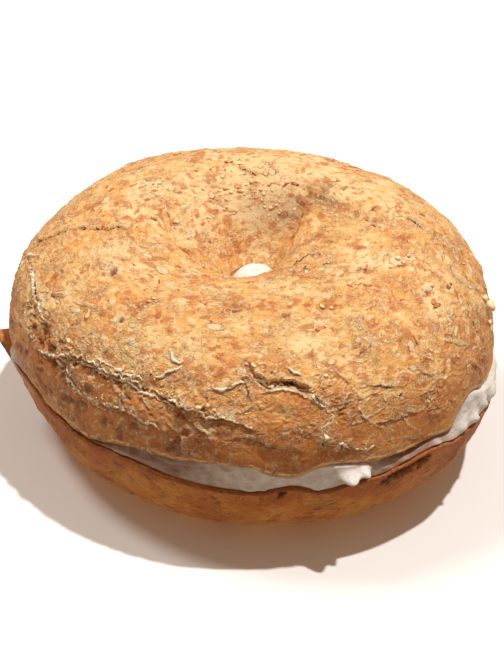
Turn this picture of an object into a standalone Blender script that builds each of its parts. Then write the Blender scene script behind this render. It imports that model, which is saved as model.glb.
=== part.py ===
"""A wholewheat bagel, split level and filled with cream cheese, at its real size.

Three pieces lie on each other: the heel (bottom half), the cream cheese with the plug of it that has
squeezed up the hole, and the crown (top half). The origin is at the middle of the base, +Z is up and
the side that the eye meets first is -Y. Lengths are in metres and angles in degrees.

A point of the crust is named by two angles. The azimuth runs round the bagel from +X. The latitude runs
over the dough: 0 at the girth, 90 on the ridge and 180 at the throat of the hole.
"""

import math

import bmesh
import bpy
from mathutils import Vector, noise

MM = 0.001

# The whole bagel
STRETCH = 0.046  # the plan is this much longer one way, as hand-rolled dough is
STRETCH_AZIMUTH = -42.0
HEIGHT = 47.2 * MM
RIDGE_RADIUS = 30.0 * MM  # the highest circle of the crown
GAP = 0.3 * MM  # between pieces that touch
STEPS = 96  # sections round the bagel, the same for all three so that their faces match

# The crown
CROWN_RADIUS = 53.0 * MM  # mean radius of the outline at the girth
GIRTH_HEIGHT = 25.4 * MM
CROWN_POWER = 2.12  # of the shoulder's superellipse: 2 would be an ellipse
CROWN_CUT_HEIGHT = 24.2 * MM
EDGE_BLEND_HEIGHT = 34.0 * MM  # the cut edge's waves have died out at this height
EDGE_ROUND = 1.0 * MM
CUT_LEVEL_SHARE = 0.72  # a cut face is level from the throat to this share of the way to its rim
LUMP_SIZE = 16.0 * MM
LUMP_HEIGHT = 0.8 * MM

# The hole
THROAT_CENTRE = Vector((0.7 * MM, 2.0 * MM, 0.0))
THROAT_RADIUS = 5.3 * MM
THROAT_HEIGHT = 33.6 * MM  # where the funnel meets the throat

# The heel
HEEL_RADIUS = 53.8 * MM
HEEL_CUT_HEIGHT = 20.4 * MM
HEEL_POWER = 2.15
HEEL_FLATTENING = 1.1 * MM  # how much of its round underside the baking tray took
HEEL_BASE_RADIUS = 31.0 * MM  # the lowest circle
HEEL_DIMPLE_HEIGHT = 14.5 * MM  # where the dimple in its underside meets the hole
FLAKE_AZIMUTH, FLAKE_WIDTH = -175.0, 6.0  # a flake of the heel's skin that stands out at the left
FLAKE_REACH, FLAKE_RISE = 2.4 * MM, 3.2 * MM

# The cream cheese
PLUG_RADIUS = THROAT_RADIUS - GAP
PLUG_TOP_HEIGHT = 37.2 * MM
PLUG_DOME_HEIGHT = 3.4 * MM
CHEESE_SAG = 1.4 * MM  # how far it hangs into the heel's hole

# (azimuth, mm) of how far each outline stands out from its ellipse
CROWN_OUTLINE = (
    (-180, 0.2), (-165, 0.9), (-150, 0.0), (-110, 0.5), (-60, 0.0), (0, -0.4), (25, 0.0),
    (50, -0.6), (80, -1.2), (105, 0.1), (123, 2.0), (138, 0.0), (153, -1.9),
)  # fmt: skip
HEEL_OUTLINE = (
    (-180, -0.8), (-165, -0.9), (-145, -0.5), (-132, -0.4), (-110, 0.1), (-82, -0.9), (-45, 0.8),
    (0, -0.3), (50, -0.2), (80, -0.6), (110, 0.8), (148, -1.6),
)  # fmt: skip
# (azimuth, mm) of the height of each torn cut edge
CROWN_EDGE = (
    (-180, 25.6), (-170, 26.2), (-160, 26.2), (-152, 24.6), (-142, 23.2), (-132, 23.0),
    (-124, 23.3), (-116, 24.3), (-109, 24.0), (-103, 25.3), (-96, 25.6), (-90, 23.8),
    (-84, 22.6), (-79, 23.6), (-74, 25.7), (-66, 24.7), (-57, 23.5), (-48, 24.3),
    (-42, 24.6), (-37, 26.3), (-31, 27.5), (-22, 26.4), (-10, 25.0), (5, 24.5),
    (30, 24.0), (60, 24.7), (90, 24.2), (120, 24.0), (150, 24.8),
)  # fmt: skip
HEEL_EDGE = (
    (-180, 19.6), (-170, 19.4), (-163, 19.8), (-156, 21.4), (-149, 22.3), (-142, 22.3),
    (-132, 22.0), (-124, 21.7), (-116, 21.3), (-107, 20.9), (-100, 20.3), (-91, 19.4),
    (-86, 19.7), (-80, 21.0), (-75, 19.4), (-68, 19.6), (-62, 19.9), (-55, 20.6),
    (-48, 21.7), (-41, 21.9), (-37, 20.8), (-32, 19.0), (-20, 18.7), (-5, 19.6),
    (20, 20.4), (60, 20.7), (100, 20.3), (140, 20.6),
)  # fmt: skip
# (azimuth, mm) that the cheese stands back from the crown's edge; below 0 it bulges out
CHEESE_RECESS = (
    (-180, 0.6), (-165, 0.7), (-152, 3.2), (-140, 5.0), (-128, 4.0), (-115, 1.3),
    (-97, 0.6), (-86, -0.2), (-78, 0.2), (-71, -1.2), (-62, 0.4), (-48, 1.4),
    (-38, 0.4), (-28, -0.8), (-15, -0.3), (5, 0.9), (60, 1.2), (90, 0.5), (130, 1.3),
)  # fmt: skip
# (azimuth, power) of the funnel's wall: high where the dough rolls over and drops straight down
FUNNEL_POWER = (
    (-180, 2.1), (-145, 2.4), (-115, 2.9), (-90, 3.5), (-70, 4.6), (-38, 8.0), (0, 8.0),
    (28, 5.0), (47, 2.4), (65, 1.6), (100, 1.6), (150, 1.8),
)  # fmt: skip


def wave(points, azimuth):
    """A smooth closed curve through (azimuth, value) points, read at one azimuth."""
    azimuth = (azimuth + 180) % 360 - 180
    count = len(points)
    start = max((i for i in range(count) if points[i][0] <= azimuth), default=count - 1)
    before, a, b, after = (points[(start + k) % count][1] for k in (-1, 0, 1, 2))
    span = (points[(start + 1) % count][0] - points[start][0]) % 360
    t = ((azimuth - points[start][0]) % 360) / span
    bend = before - 2.5 * a + 2 * b - 0.5 * after
    twist = 0.5 * (3 * (a - b) + after - before)
    return a + t * (0.5 * (b - before) + t * (bend + t * twist))


def smooth(low, high, value):
    """0 at low, 1 at high, and an S-curve between them; low may be the greater."""
    t = min(1.0, max(0.0, (value - low) / (high - low)))
    return t * t * (3 - 2 * t)


def turned(azimuth):
    """The level unit vector at an azimuth."""
    return Vector((math.cos(math.radians(azimuth)), math.sin(math.radians(azimuth)), 0))


def up(height):
    """A vector that points straight up."""
    return Vector((0, 0, height))


def quarter(latitude, power):
    """(outward, upward) shares of a quarter superellipse, from the girth at 0 to the ridge at 90."""
    angle = math.radians(latitude)
    return math.cos(angle) ** (2 / power), math.sin(angle) ** (2 / power)


def outline(azimuth, mean, bumps):
    """Radius of an outline seen from above."""
    ellipse = 1 + STRETCH * math.cos(math.radians(2 * (azimuth - STRETCH_AZIMUTH)))
    return mean * ellipse + wave(bumps, azimuth) * MM


def crown_rim(azimuth):
    """Radius of the crown's outline."""
    return outline(azimuth, CROWN_RADIUS, CROWN_OUTLINE)


def heel_rim(azimuth):
    """Radius of the heel's outline."""
    return outline(azimuth, HEEL_RADIUS, HEEL_OUTLINE)


def throat(azimuth, radius=THROAT_RADIUS):
    """A point of the hole's narrow waist, on the ground plane."""
    return THROAT_CENTRE + turned(azimuth) * radius


def cut_face(azimuth, share, rim, level, edge, hole=THROAT_RADIUS):
    """A point of a cut face: share 0 is at the hole and 1 at the rim, where it follows the torn edge."""
    point = throat(azimuth, hole).lerp(turned(azimuth) * (rim - EDGE_ROUND), share)
    ramp = max(0.0, share - CUT_LEVEL_SHARE) / (1 - CUT_LEVEL_SHARE)
    return point + up(level + (edge - level) * ramp)


def crown_cut(azimuth, share, hole=THROAT_RADIUS):
    """A point of the crown's cut face."""
    return cut_face(azimuth, share, crown_rim(azimuth), CROWN_CUT_HEIGHT, wave(CROWN_EDGE, azimuth) * MM, hole)


def heel_cut(azimuth, share, hole=THROAT_RADIUS):
    """A point of the heel's cut face."""
    return cut_face(azimuth, share, heel_rim(azimuth), HEEL_CUT_HEIGHT, wave(HEEL_EDGE, azimuth) * MM, hole)


def crown_crust(azimuth, latitude):
    """A point of the crown's crust, before its lumps and folds."""
    if latitude <= 90:
        outward, upward = quarter(latitude, CROWN_POWER)
        radius = RIDGE_RADIUS + (crown_rim(azimuth) - RIDGE_RADIUS) * outward
        height = GIRTH_HEIGHT + (HEIGHT - GIRTH_HEIGHT) * upward
        if height < EDGE_BLEND_HEIGHT:
            edge = wave(CROWN_EDGE, azimuth) * MM + EDGE_ROUND
            share = (height - GIRTH_HEIGHT) / (EDGE_BLEND_HEIGHT - GIRTH_HEIGHT)
            height = edge + (EDGE_BLEND_HEIGHT - edge) * share
        return turned(azimuth) * radius + up(height)
    down = (latitude - 90) / 90
    point = (turned(azimuth) * RIDGE_RADIUS).lerp(throat(azimuth), down)
    return point + up(HEIGHT - (HEIGHT - THROAT_HEIGHT) * down ** wave(FUNNEL_POWER, azimuth))


def crust_normal(azimuth, latitude):
    """The direction that the crown's crust faces."""
    step = 0.5
    low, high = max(0.0, latitude - step), min(180.0, latitude + step)
    around = crown_crust(azimuth + step, latitude) - crown_crust(azimuth - step, latitude)
    over = crown_crust(azimuth, high) - crown_crust(azimuth, low)
    return around.cross(over).normalized()


def spread(route, steps):
    """A route of (azimuth, latitude) points with steps between each two of them."""
    points = []
    for (azimuth, latitude), (next_azimuth, next_latitude) in zip(route, route[1:]):
        for k in range(steps):
            t = k / steps
            points.append((azimuth + (next_azimuth - azimuth) * t, latitude + (next_latitude - latitude) * t))
    return points + [route[-1]]


class Crease:
    """A valley where dough folds over dough, along a route of (azimuth, latitude) points."""

    def __init__(self, route, depth, width):
        self.line = [crown_crust(*place) for place in spread(route, steps=8)]
        self.depth, self.width = depth * MM, width * MM

    def depth_at(self, point):
        """How deep the crease goes at a point of the crust."""
        distance = min((point - place).length for place in self.line)
        return self.depth * math.exp(-((distance / self.width) ** 2))


CREASES = (
    # the right roll over the back wall of the funnel
    Crease([(12, 172), (30, 162), (42, 152), (48, 134), (51, 114), (53, 98)], depth=2.8, width=3.2),
    # the left roll over it
    Crease([(150, 118), (168, 132), (186, 142), (202, 151), (215, 160)], depth=2.0, width=2.8),
)


def crown_skin(azimuth, latitude):
    """A point of the crown's crust with its low lumps and its creases."""
    point = crown_crust(azimuth, latitude)
    lift = LUMP_HEIGHT * noise.noise(point / LUMP_SIZE) - sum(crease.depth_at(point) for crease in CREASES)
    calm = smooth(0, 18, latitude) * smooth(178, 160, latitude)  # none at the cut edge and in the throat
    return point + crust_normal(azimuth, latitude) * lift * calm


class Crack:
    """An open crack in the crown's crust along a route of (azimuth, latitude) points.

    Its cutter is a thin bar that follows the crust and tapers to both ends.
    """

    def __init__(self, name, route, width, depth):
        self.name, self.line = name, spread(route, steps=2)
        self.width, self.depth = width * MM, depth * MM

    def cutter(self):
        """The bar, as a curve object."""
        reach = (self.width / 2) ** 2 / self.depth
        radius, sink = (self.depth + reach) / 2, (self.depth - reach) / 2
        curve = bpy.data.curves.new(self.name, "CURVE")
        curve.dimensions = "3D"
        curve.bevel_depth = 1.0  # each point's radius sets the real one
        curve.bevel_resolution = 0
        curve.use_fill_caps = True
        spline = curve.splines.new("POLY")
        spline.points.add(len(self.line) - 1)
        for k, (place, point) in enumerate(zip(self.line, spline.points)):
            taper = 0.35 + 0.65 * math.sin(math.pi * k / (len(self.line) - 1))
            point.co = (*(crown_skin(*place) - crust_normal(*place) * sink * taper), 1.0)
            point.radius = radius * taper
        bar = bpy.data.objects.new(self.name, curve)
        bpy.context.scene.collection.objects.link(bar)
        return bar


CRACKS = (
    Crack("front_fissure", [(-91, 54), (-89, 49), (-85, 47), (-79, 44), (-76, 37), (-72, 26)], 2.4, 1.8),
    Crack("front_split", [(-76, 22), (-73, 17), (-74, 12), (-71, 9)], 1.8, 1.2),
    Crack("dough_seam", [(175, 46), (176, 58), (175, 72), (176, 88), (180, 106)], 1.5, 1.0),
    Crack("left_split", [(178, 45), (182, 42), (191, 43), (200, 40), (210, 35)], 1.8, 1.2),
    Crack("upper_terrace", [(-157, 22), (-142, 25), (-133, 32), (-115, 32), (-101, 28), (-91, 24)], 1.6, 0.8),
    Crack("lower_terrace", [(-145, 26), (-140, 20), (-124, 18), (-111, 15)], 1.6, 0.9),
)


def material_of(name, colour, roughness):
    """A plain Principled material."""
    material = bpy.data.materials.new(name)
    material.use_nodes = True
    shader = material.node_tree.nodes["Principled BSDF"]
    shader.inputs["Base Color"].default_value = (*colour, 1.0)
    shader.inputs["Roughness"].default_value = roughness
    shader.inputs["Metallic"].default_value = 0.0
    return material


def finished(name, material):
    """Names and dresses the object that was just made."""
    piece = bpy.context.object
    piece.name = piece.data.name = name
    piece.data.materials.append(material)
    piece.data.shade_smooth()
    piece.data.set_sharp_from_angle(angle=math.radians(50))
    return piece


def ring_of(name, stations, place, material):
    """A ring of bread: a torus whose points are moved onto the stations of a section.

    The stations run from the outside over the top to the inside, and place(azimuth, station) gives the
    point of each.
    """
    major = 2.0
    bpy.ops.mesh.primitive_torus_add(
        major_segments=STEPS, minor_segments=len(stations), major_radius=major, minor_radius=1.0
    )
    mesh = bpy.context.object.data
    for vertex in mesh.vertices:
        azimuth = math.degrees(math.atan2(vertex.co.y, vertex.co.x))
        turn = math.atan2(vertex.co.z, math.hypot(vertex.co.x, vertex.co.y) - major)
        vertex.co = place(azimuth, stations[round(turn / math.tau * len(stations)) % len(stations)])
    mesh.update()
    return finished(name, material)


# The sections. A station is ("crust", latitude), ("waist", share of the hole's straight part from below)
# or ("cut", share of the way from the hole to the rim).
CUT_SHARES = (0.36, CUT_LEVEL_SHARE, 0.88)
CROWN_SECTION = (
    [("crust", latitude) for latitude in (0, 6, 12, 18, 24, 30, 36, 42, 48, 54, 61, 69, 78, 88)]
    + [("crust", latitude) for latitude in (98, 107, 116, 125, 134, 142, 150, 158, 166, 173, 180)]
    + [("waist", 0.5), ("cut", 0.0)]
    + [("cut", share) for share in CUT_SHARES]
    + [("cut", 1.0)]
)
HEEL_TOP_LATITUDE = math.degrees(
    math.asin(((GIRTH_HEIGHT - HEEL_CUT_HEIGHT) / (GIRTH_HEIGHT + HEEL_FLATTENING)) ** (HEEL_POWER / 2))
)
HEEL_SECTION = (
    [("cut", 1.0)]
    + [("cut", share) for share in reversed(CUT_SHARES)]
    + [("cut", 0.0), ("waist", 0.5)]
    + [("crust", latitude) for latitude in (180, 160, 140, 122, 106, 90, 76, 65, 55, 46, 37, 28, 19, HEEL_TOP_LATITUDE)]
)


def crown_place(azimuth, station):
    """A point of the crown's section."""
    part, value = station
    if part == "crust":
        return crown_skin(azimuth, value)
    if part == "waist":
        return throat(azimuth) + up(CROWN_CUT_HEIGHT + value * (THROAT_HEIGHT - CROWN_CUT_HEIGHT))
    return crown_cut(azimuth, value)


def heel_place(azimuth, station):
    """A point of the heel's section."""
    part, value = station
    if part == "cut":
        return heel_cut(azimuth, value)
    if part == "waist":
        return throat(azimuth) + up(HEEL_DIMPLE_HEIGHT + value * (HEEL_CUT_HEIGHT - HEEL_DIMPLE_HEIGHT))
    if value > 90:
        inward = (value - 90) / 90
        point = (turned(azimuth) * HEEL_BASE_RADIUS).lerp(throat(azimuth), inward**0.8)
        rise = (HEEL_DIMPLE_HEIGHT + HEEL_FLATTENING) * (1 - math.cos(math.radians(value - 90)))
        return point + up(max(0.0, rise - HEEL_FLATTENING))
    outward, downward = quarter(value, HEEL_POWER)
    radius = HEEL_BASE_RADIUS + (heel_rim(azimuth) - HEEL_BASE_RADIUS) * outward
    side = max(0.0, GIRTH_HEIGHT - (GIRTH_HEIGHT + HEEL_FLATTENING) * downward) / HEEL_CUT_HEIGHT
    from_flake = (azimuth - FLAKE_AZIMUTH + 180) % 360 - 180
    flake = math.exp(-((from_flake / FLAKE_WIDTH) ** 2)) * smooth(22, HEEL_TOP_LATITUDE, value)
    edge = wave(HEEL_EDGE, azimuth) * MM - EDGE_ROUND
    return turned(azimuth) * (radius + FLAKE_REACH * flake) + up(edge * side + FLAKE_RISE * flake)


def cheese_rings(azimuth):
    """The cheese's section at an azimuth, from the plug's top to the middle of its underside."""
    gap = up(GAP)
    dome = []
    for angle in (0, 32, 62, 90):
        radius = PLUG_RADIUS * math.sin(math.radians(angle))
        height = PLUG_TOP_HEIGHT - PLUG_DOME_HEIGHT * (1 - math.cos(math.radians(angle)))
        dome.append(throat(azimuth, radius) + up(height))
    recess = wave(CHEESE_RECESS, azimuth) * MM
    upper = 1 - recess / (crown_rim(azimuth) - THROAT_RADIUS)
    lower = 1 - (recess + heel_rim(azimuth) - crown_rim(azimuth)) / (heel_rim(azimuth) - THROAT_RADIUS)
    top = [crown_cut(azimuth, share, PLUG_RADIUS) - gap for share in (0.0, *CUT_SHARES, upper)]
    bottom = [heel_cut(azimuth, share, PLUG_RADIUS) + gap for share in (lower, *reversed(CUT_SHARES), 0.0)]
    side = top[-1].lerp(bottom[0], 0.5) + turned(azimuth) * EDGE_ROUND
    sag = THROAT_CENTRE + up(HEEL_CUT_HEIGHT + GAP - CHEESE_SAG)
    return dome + top + [side] + bottom + [bottom[-1].lerp(sag, 0.5) - up(CHEESE_SAG * 0.3), sag]


def solid_of(curve_object, collection):
    """Turns a curve object into a closed mesh object that only cuts."""
    graph = bpy.context.evaluated_depsgraph_get()
    mesh = bpy.data.meshes.new_from_object(curve_object.evaluated_get(graph))
    cage = bmesh.new()
    cage.from_mesh(mesh)
    bmesh.ops.remove_doubles(cage, verts=cage.verts, dist=0.001 * MM)
    bmesh.ops.recalc_face_normals(cage, faces=cage.faces)
    cage.to_mesh(mesh)
    cage.free()
    cutter = bpy.data.objects.new(curve_object.name, mesh)
    cutter.matrix_world = curve_object.matrix_world
    cutter.hide_render = True
    cutter.display_type = "WIRE"
    collection.objects.link(cutter)
    bpy.data.objects.remove(curve_object)
    return cutter


def build_crown(material):
    """The top half of the bagel, with its cracks cut."""
    crown = ring_of("crown", CROWN_SECTION, crown_place, material)
    cutters = bpy.data.collections.new("crack_cutters")
    bpy.context.scene.collection.children.link(cutters)
    for crack in CRACKS:
        solid_of(crack.cutter(), cutters)
    cut = crown.modifiers.new("cracks", "BOOLEAN")
    cut.operation = "DIFFERENCE"
    cut.solver = "EXACT"
    cut.operand_type = "COLLECTION"
    cut.collection = cutters
    return crown


def build_heel(material):
    """The bottom half of the bagel."""
    return ring_of("heel", HEEL_SECTION, heel_place, material)


def build_cheese(material):
    """The filling: a sphere whose rings are moved onto its section."""
    rings = len(cheese_rings(0)) - 1
    bpy.ops.mesh.primitive_uv_sphere_add(segments=STEPS, ring_count=rings, radius=1.0)
    mesh = bpy.context.object.data
    for vertex in mesh.vertices:
        azimuth = math.degrees(math.atan2(vertex.co.y, vertex.co.x))
        ring = round(rings * math.acos(max(-1.0, min(1.0, vertex.co.z))) / math.pi)
        vertex.co = cheese_rings(azimuth)[ring]
    mesh.update()
    return finished("cream_cheese", material)


def main():
    """Clears the scene and builds the bagel in its own collection."""
    for old in list(bpy.data.objects):
        bpy.data.objects.remove(old)
    bagel = bpy.data.collections.new("bagel")
    bpy.context.scene.collection.children.link(bagel)
    crust = material_of("crust", (0.60, 0.33, 0.13), 0.6)
    under_crust = material_of("under_crust", (0.42, 0.19, 0.06), 0.6)
    cheese = material_of("cream_cheese", (0.88, 0.85, 0.78), 0.45)
    for piece in (build_crown(crust), build_heel(under_crust), build_cheese(cheese)):
        for holder in list(piece.users_collection):
            holder.objects.unlink(piece)
        bagel.objects.link(piece)


main()
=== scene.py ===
"""A wholewheat bagel, split level and filled with cream cheese, dressed for a close view.

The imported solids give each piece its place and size. Three fine skins stand for them: the crown's crust, the
heel's crust and the cream cheese. Loose bran, flakes, shards and crumbs lie on those skins.

A point of a crust is named by two angles in degrees. The azimuth runs round the bagel from +X, and the side
that the eye meets first is at -90. The latitude runs over the dough: 0 at the girth, 90 on the ridge and 180
at the throat of the hole. Lengths are in millimetres, except in the camera, the lights and the meshes.
"""

from __future__ import annotations

import logging
import math
import random
from contextlib import contextmanager
from dataclasses import dataclass, field
from enum import Enum
from typing import Callable, Iterator, Optional, Sequence

import bpy
import numpy as np
from mathutils import Matrix, Vector, noise
from mathutils.bvhtree import BVHTree

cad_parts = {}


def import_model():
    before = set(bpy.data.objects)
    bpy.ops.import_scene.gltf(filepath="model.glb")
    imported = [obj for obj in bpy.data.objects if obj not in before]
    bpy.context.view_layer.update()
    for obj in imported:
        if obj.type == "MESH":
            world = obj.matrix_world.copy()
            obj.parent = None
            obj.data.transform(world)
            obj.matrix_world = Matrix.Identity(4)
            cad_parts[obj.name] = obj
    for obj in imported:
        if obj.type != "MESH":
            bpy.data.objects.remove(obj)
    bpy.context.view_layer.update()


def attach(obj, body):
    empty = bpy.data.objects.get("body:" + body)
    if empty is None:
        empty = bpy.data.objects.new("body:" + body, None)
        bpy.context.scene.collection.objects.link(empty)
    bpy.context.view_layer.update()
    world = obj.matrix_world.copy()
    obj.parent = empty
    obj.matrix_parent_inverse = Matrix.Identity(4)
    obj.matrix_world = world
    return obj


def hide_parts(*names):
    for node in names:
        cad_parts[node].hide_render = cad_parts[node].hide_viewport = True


LOG = logging.getLogger("bagel")
MM = 0.001
BODY = "root"
# where a skin's relief has no fold or spot near, its distance to one is this many millimetres
FAR = 4.0
# how far the columns of a skin are drawn together at the front, in radians
CROWDING = 0.15
# the mean radius at which the ragged line of a torn edge is read from noise
EDGE_RADIUS = 53.0
# the radius at which bits and spots are as crowded as they get
WIDEST = 54.0
# where patterns on a crust are read, the turned-in edge is this wide and the cut face this deep
EDGE_WIDTH = 1.6
CUT_DEPTH = 40.0

Array = np.ndarray
Piece = bpy.types.Object
Mesh = bpy.types.Mesh
Material = bpy.types.Material
Socket = bpy.types.NodeSocket
Table = Sequence[tuple[float, float]]
Route = Sequence[tuple[float, float]]
Colour = tuple[float, float, float]
Crust = Callable[[Array, Array], Array]

# (azimuth, mm) of how far each outline stands out from its ellipse; the tables are finer than the solids' own
CROWN_OUTLINE: Table = (
    (-180, 0.2), (-165, 0.9), (-150, 0.0), (-110, 0.5), (-60, 0.0), (-30, -0.5), (-5, -1.2), (25, -0.4),
    (50, -0.6), (80, -1.2), (105, 0.1), (123, 2.0), (138, 0.0), (153, -1.9),
)  # fmt: skip
HEEL_OUTLINE: Table = (
    (-180, -0.8), (-165, -0.9), (-145, -0.5), (-132, -0.4), (-110, 0.1), (-82, -0.9), (-45, 0.7),
    (-30, -0.2), (-15, -1.1), (0, -1.1), (50, -0.2), (80, -0.6), (110, 0.8), (148, -1.6),
)  # fmt: skip
# (azimuth, mm) of the height of each torn cut edge
CROWN_EDGE: Table = (
    (-180, 25.6), (-170, 26.0), (-162, 25.2), (-156, 23.6), (-151, 22.6), (-147, 21.5), (-141, 21.5),
    (-136, 20.9), (-132, 21.0), (-127, 22.3), (-120, 24.0), (-115, 24.4), (-109, 24.6), (-103, 25.1),
    (-96, 25.5), (-90, 25.2), (-86, 23.5), (-80, 23.2), (-75, 25.4), (-66, 24.4), (-60, 23.8),
    (-54, 23.9), (-50, 24.4), (-46, 23.3), (-43, 23.0), (-41, 24.6), (-39.5, 27.0), (-37, 27.9),
    (-34, 27.8), (-30, 26.0), (-24, 24.6), (-12, 24.0), (5, 24.5), (30, 24.0), (60, 24.7), (90, 24.2),
    (120, 24.0), (150, 24.8),
)  # fmt: skip
HEEL_EDGE: Table = (
    (-180, 19.6), (-170, 19.5), (-163, 20.6), (-156, 21.8), (-151, 21.6), (-147, 20.8), (-141, 20.8),
    (-136, 20.1), (-131, 20.1), (-124, 20.8), (-117, 20.9), (-110, 20.1), (-101, 19.2), (-91, 18.7),
    (-86, 19.3), (-81, 20.1), (-75, 18.6), (-68, 19.9), (-62, 20.2), (-55, 21.8), (-48, 22.4),
    (-43, 20.9), (-37, 20.4), (-32, 19.7), (-22, 17.6), (-8, 17.8), (20, 20.0), (60, 20.7),
    (100, 20.3), (140, 20.6),
)  # fmt: skip
# (azimuth, mm) that the cheese stands back from the crown's edge; below 0 it bulges out
CHEESE_RECESS: Table = (
    (-180, 0.6), (-165, 0.7), (-152, 2.2), (-140, 3.0), (-130, 2.4), (-122, 1.2), (-110, 1.6),
    (-97, 1.2), (-86, 0.3), (-78, 0.4), (-71, -0.8), (-62, 0.9), (-50, 2.0), (-41, 1.0),
    (-34, -0.6), (-27, -1.4), (-18, -1.3), (-8, -0.2), (5, 0.9), (60, 1.2), (90, 0.5), (130, 1.3),
)  # fmt: skip
# (azimuth, share) of the painted shade on the cheese, brown where it stands back under the crown
CHEESE_PAINTED_SHADE: Table = (
    (-180, 1.0), (-150, 1.0), (-118, 1.0), (-104, 0.7), (-92, 0.2), (-74, 0.15), (-62, 0.85),
    (-48, 1.0), (-40, 0.3), (-30, 0.0), (-10, 0.1), (60, 0.5), (120, 0.5),
)  # fmt: skip
# (azimuth, power) of the funnel's wall: high where the dough rolls over and drops straight down
FUNNEL_POWER: Table = (
    (-180, 2.1), (-145, 2.4), (-115, 2.9), (-90, 3.5), (-70, 4.6), (-38, 8.0), (0, 8.0),
    (28, 6.5), (41, 5.0), (48, 2.2), (65, 1.6), (100, 1.6), (150, 1.8),
)  # fmt: skip


# --- numbers ---


def smooth(low: float, high: float, value: Array) -> Array:
    """0 at low, 1 at high and an S-curve between them, for each value; low may be the greater of the two."""
    t = np.clip((np.asarray(value, float) - low) / (high - low), 0.0, 1.0)
    return t * t * (3 - 2 * t)


def bell(value: Array, width: float) -> Array:
    """1 at 0, falling to both sides over the width."""
    return np.exp(-((value / width) ** 2))


def apart(azimuth: Array, other: float) -> Array:
    """How far round from another azimuth some azimuths are, -180 to 180."""
    return (azimuth - other + 180) % 360 - 180


def between(before: Array, a: Array, b: Array, after: Array, share: Array) -> Array:
    """Reads a smooth curve between two of its points.

    Args:
        before: The point before the two.
        a: The first of them.
        b: The second.
        after: The point after them.
        share: How much of the way from a to b to go.

    Returns:
        The curve's value or place there.
    """
    bend = before - 2.5 * a + 2 * b - 0.5 * after
    twist = 0.5 * (3 * (a - b) + after - before)
    return a + share * (0.5 * (b - before) + share * (bend + share * twist))


def distances(line: Array) -> Array:
    """How far along a line each of its points is."""
    return np.concatenate([[0], np.cumsum(np.linalg.norm(np.diff(line, axis=0), axis=1))])


def wave(points: Table, azimuth: Array) -> Array:
    """A smooth closed curve through (azimuth, value) points.

    Args:
        points: The points, from -180 upwards.
        azimuth: Where to read the curve.

    Returns:
        One value for each azimuth.
    """
    places, values = np.array(points, float).T
    azimuth = apart(np.asarray(azimuth, float), 0.0)
    count = len(places)
    start = np.searchsorted(places, azimuth, side="right") - 1
    nearest = (values[(start + k) % count] for k in (-1, 0, 1, 2))
    span = (places[(start + 1) % count] - places[start]) % 360
    return between(*nearest, ((azimuth - places[start]) % 360) / span)


def turned(azimuth: Array) -> Array:
    """The level unit vectors at some azimuths."""
    angle = np.radians(azimuth)
    return np.stack([np.cos(angle), np.sin(angle), np.zeros_like(angle)], axis=-1)


def raised(points: Array, height: Array) -> Array:
    """The points, lifted by a height each."""
    return points + np.stack([np.zeros_like(height), np.zeros_like(height), height], axis=-1)


def grain(points: Array, size: float, octaves: int = 1, seed: int = 0) -> Array:
    """Smooth noise in space, about -1 to 1.

    Args:
        points: Where to read it.
        size: The distance over which it changes.
        octaves: How many finer layers it has.
        seed: Picks one of many such noises.

    Returns:
        One number for each point.
    """
    places = (points / size + np.array([31.7, 11.3, 53.9]) * seed).tolist()
    if octaves == 1:
        return np.fromiter((noise.noise(p) for p in places), float, len(places))
    return np.fromiter((noise.fractal(p, 1.0, 2.0, octaves) for p in places), float, len(places))


def units(vectors: Array) -> Array:
    """The vectors at length 1."""
    return vectors / np.maximum(np.linalg.norm(vectors, axis=-1, keepdims=True), 1e-12)


# --- the bagel's form ---


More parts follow.
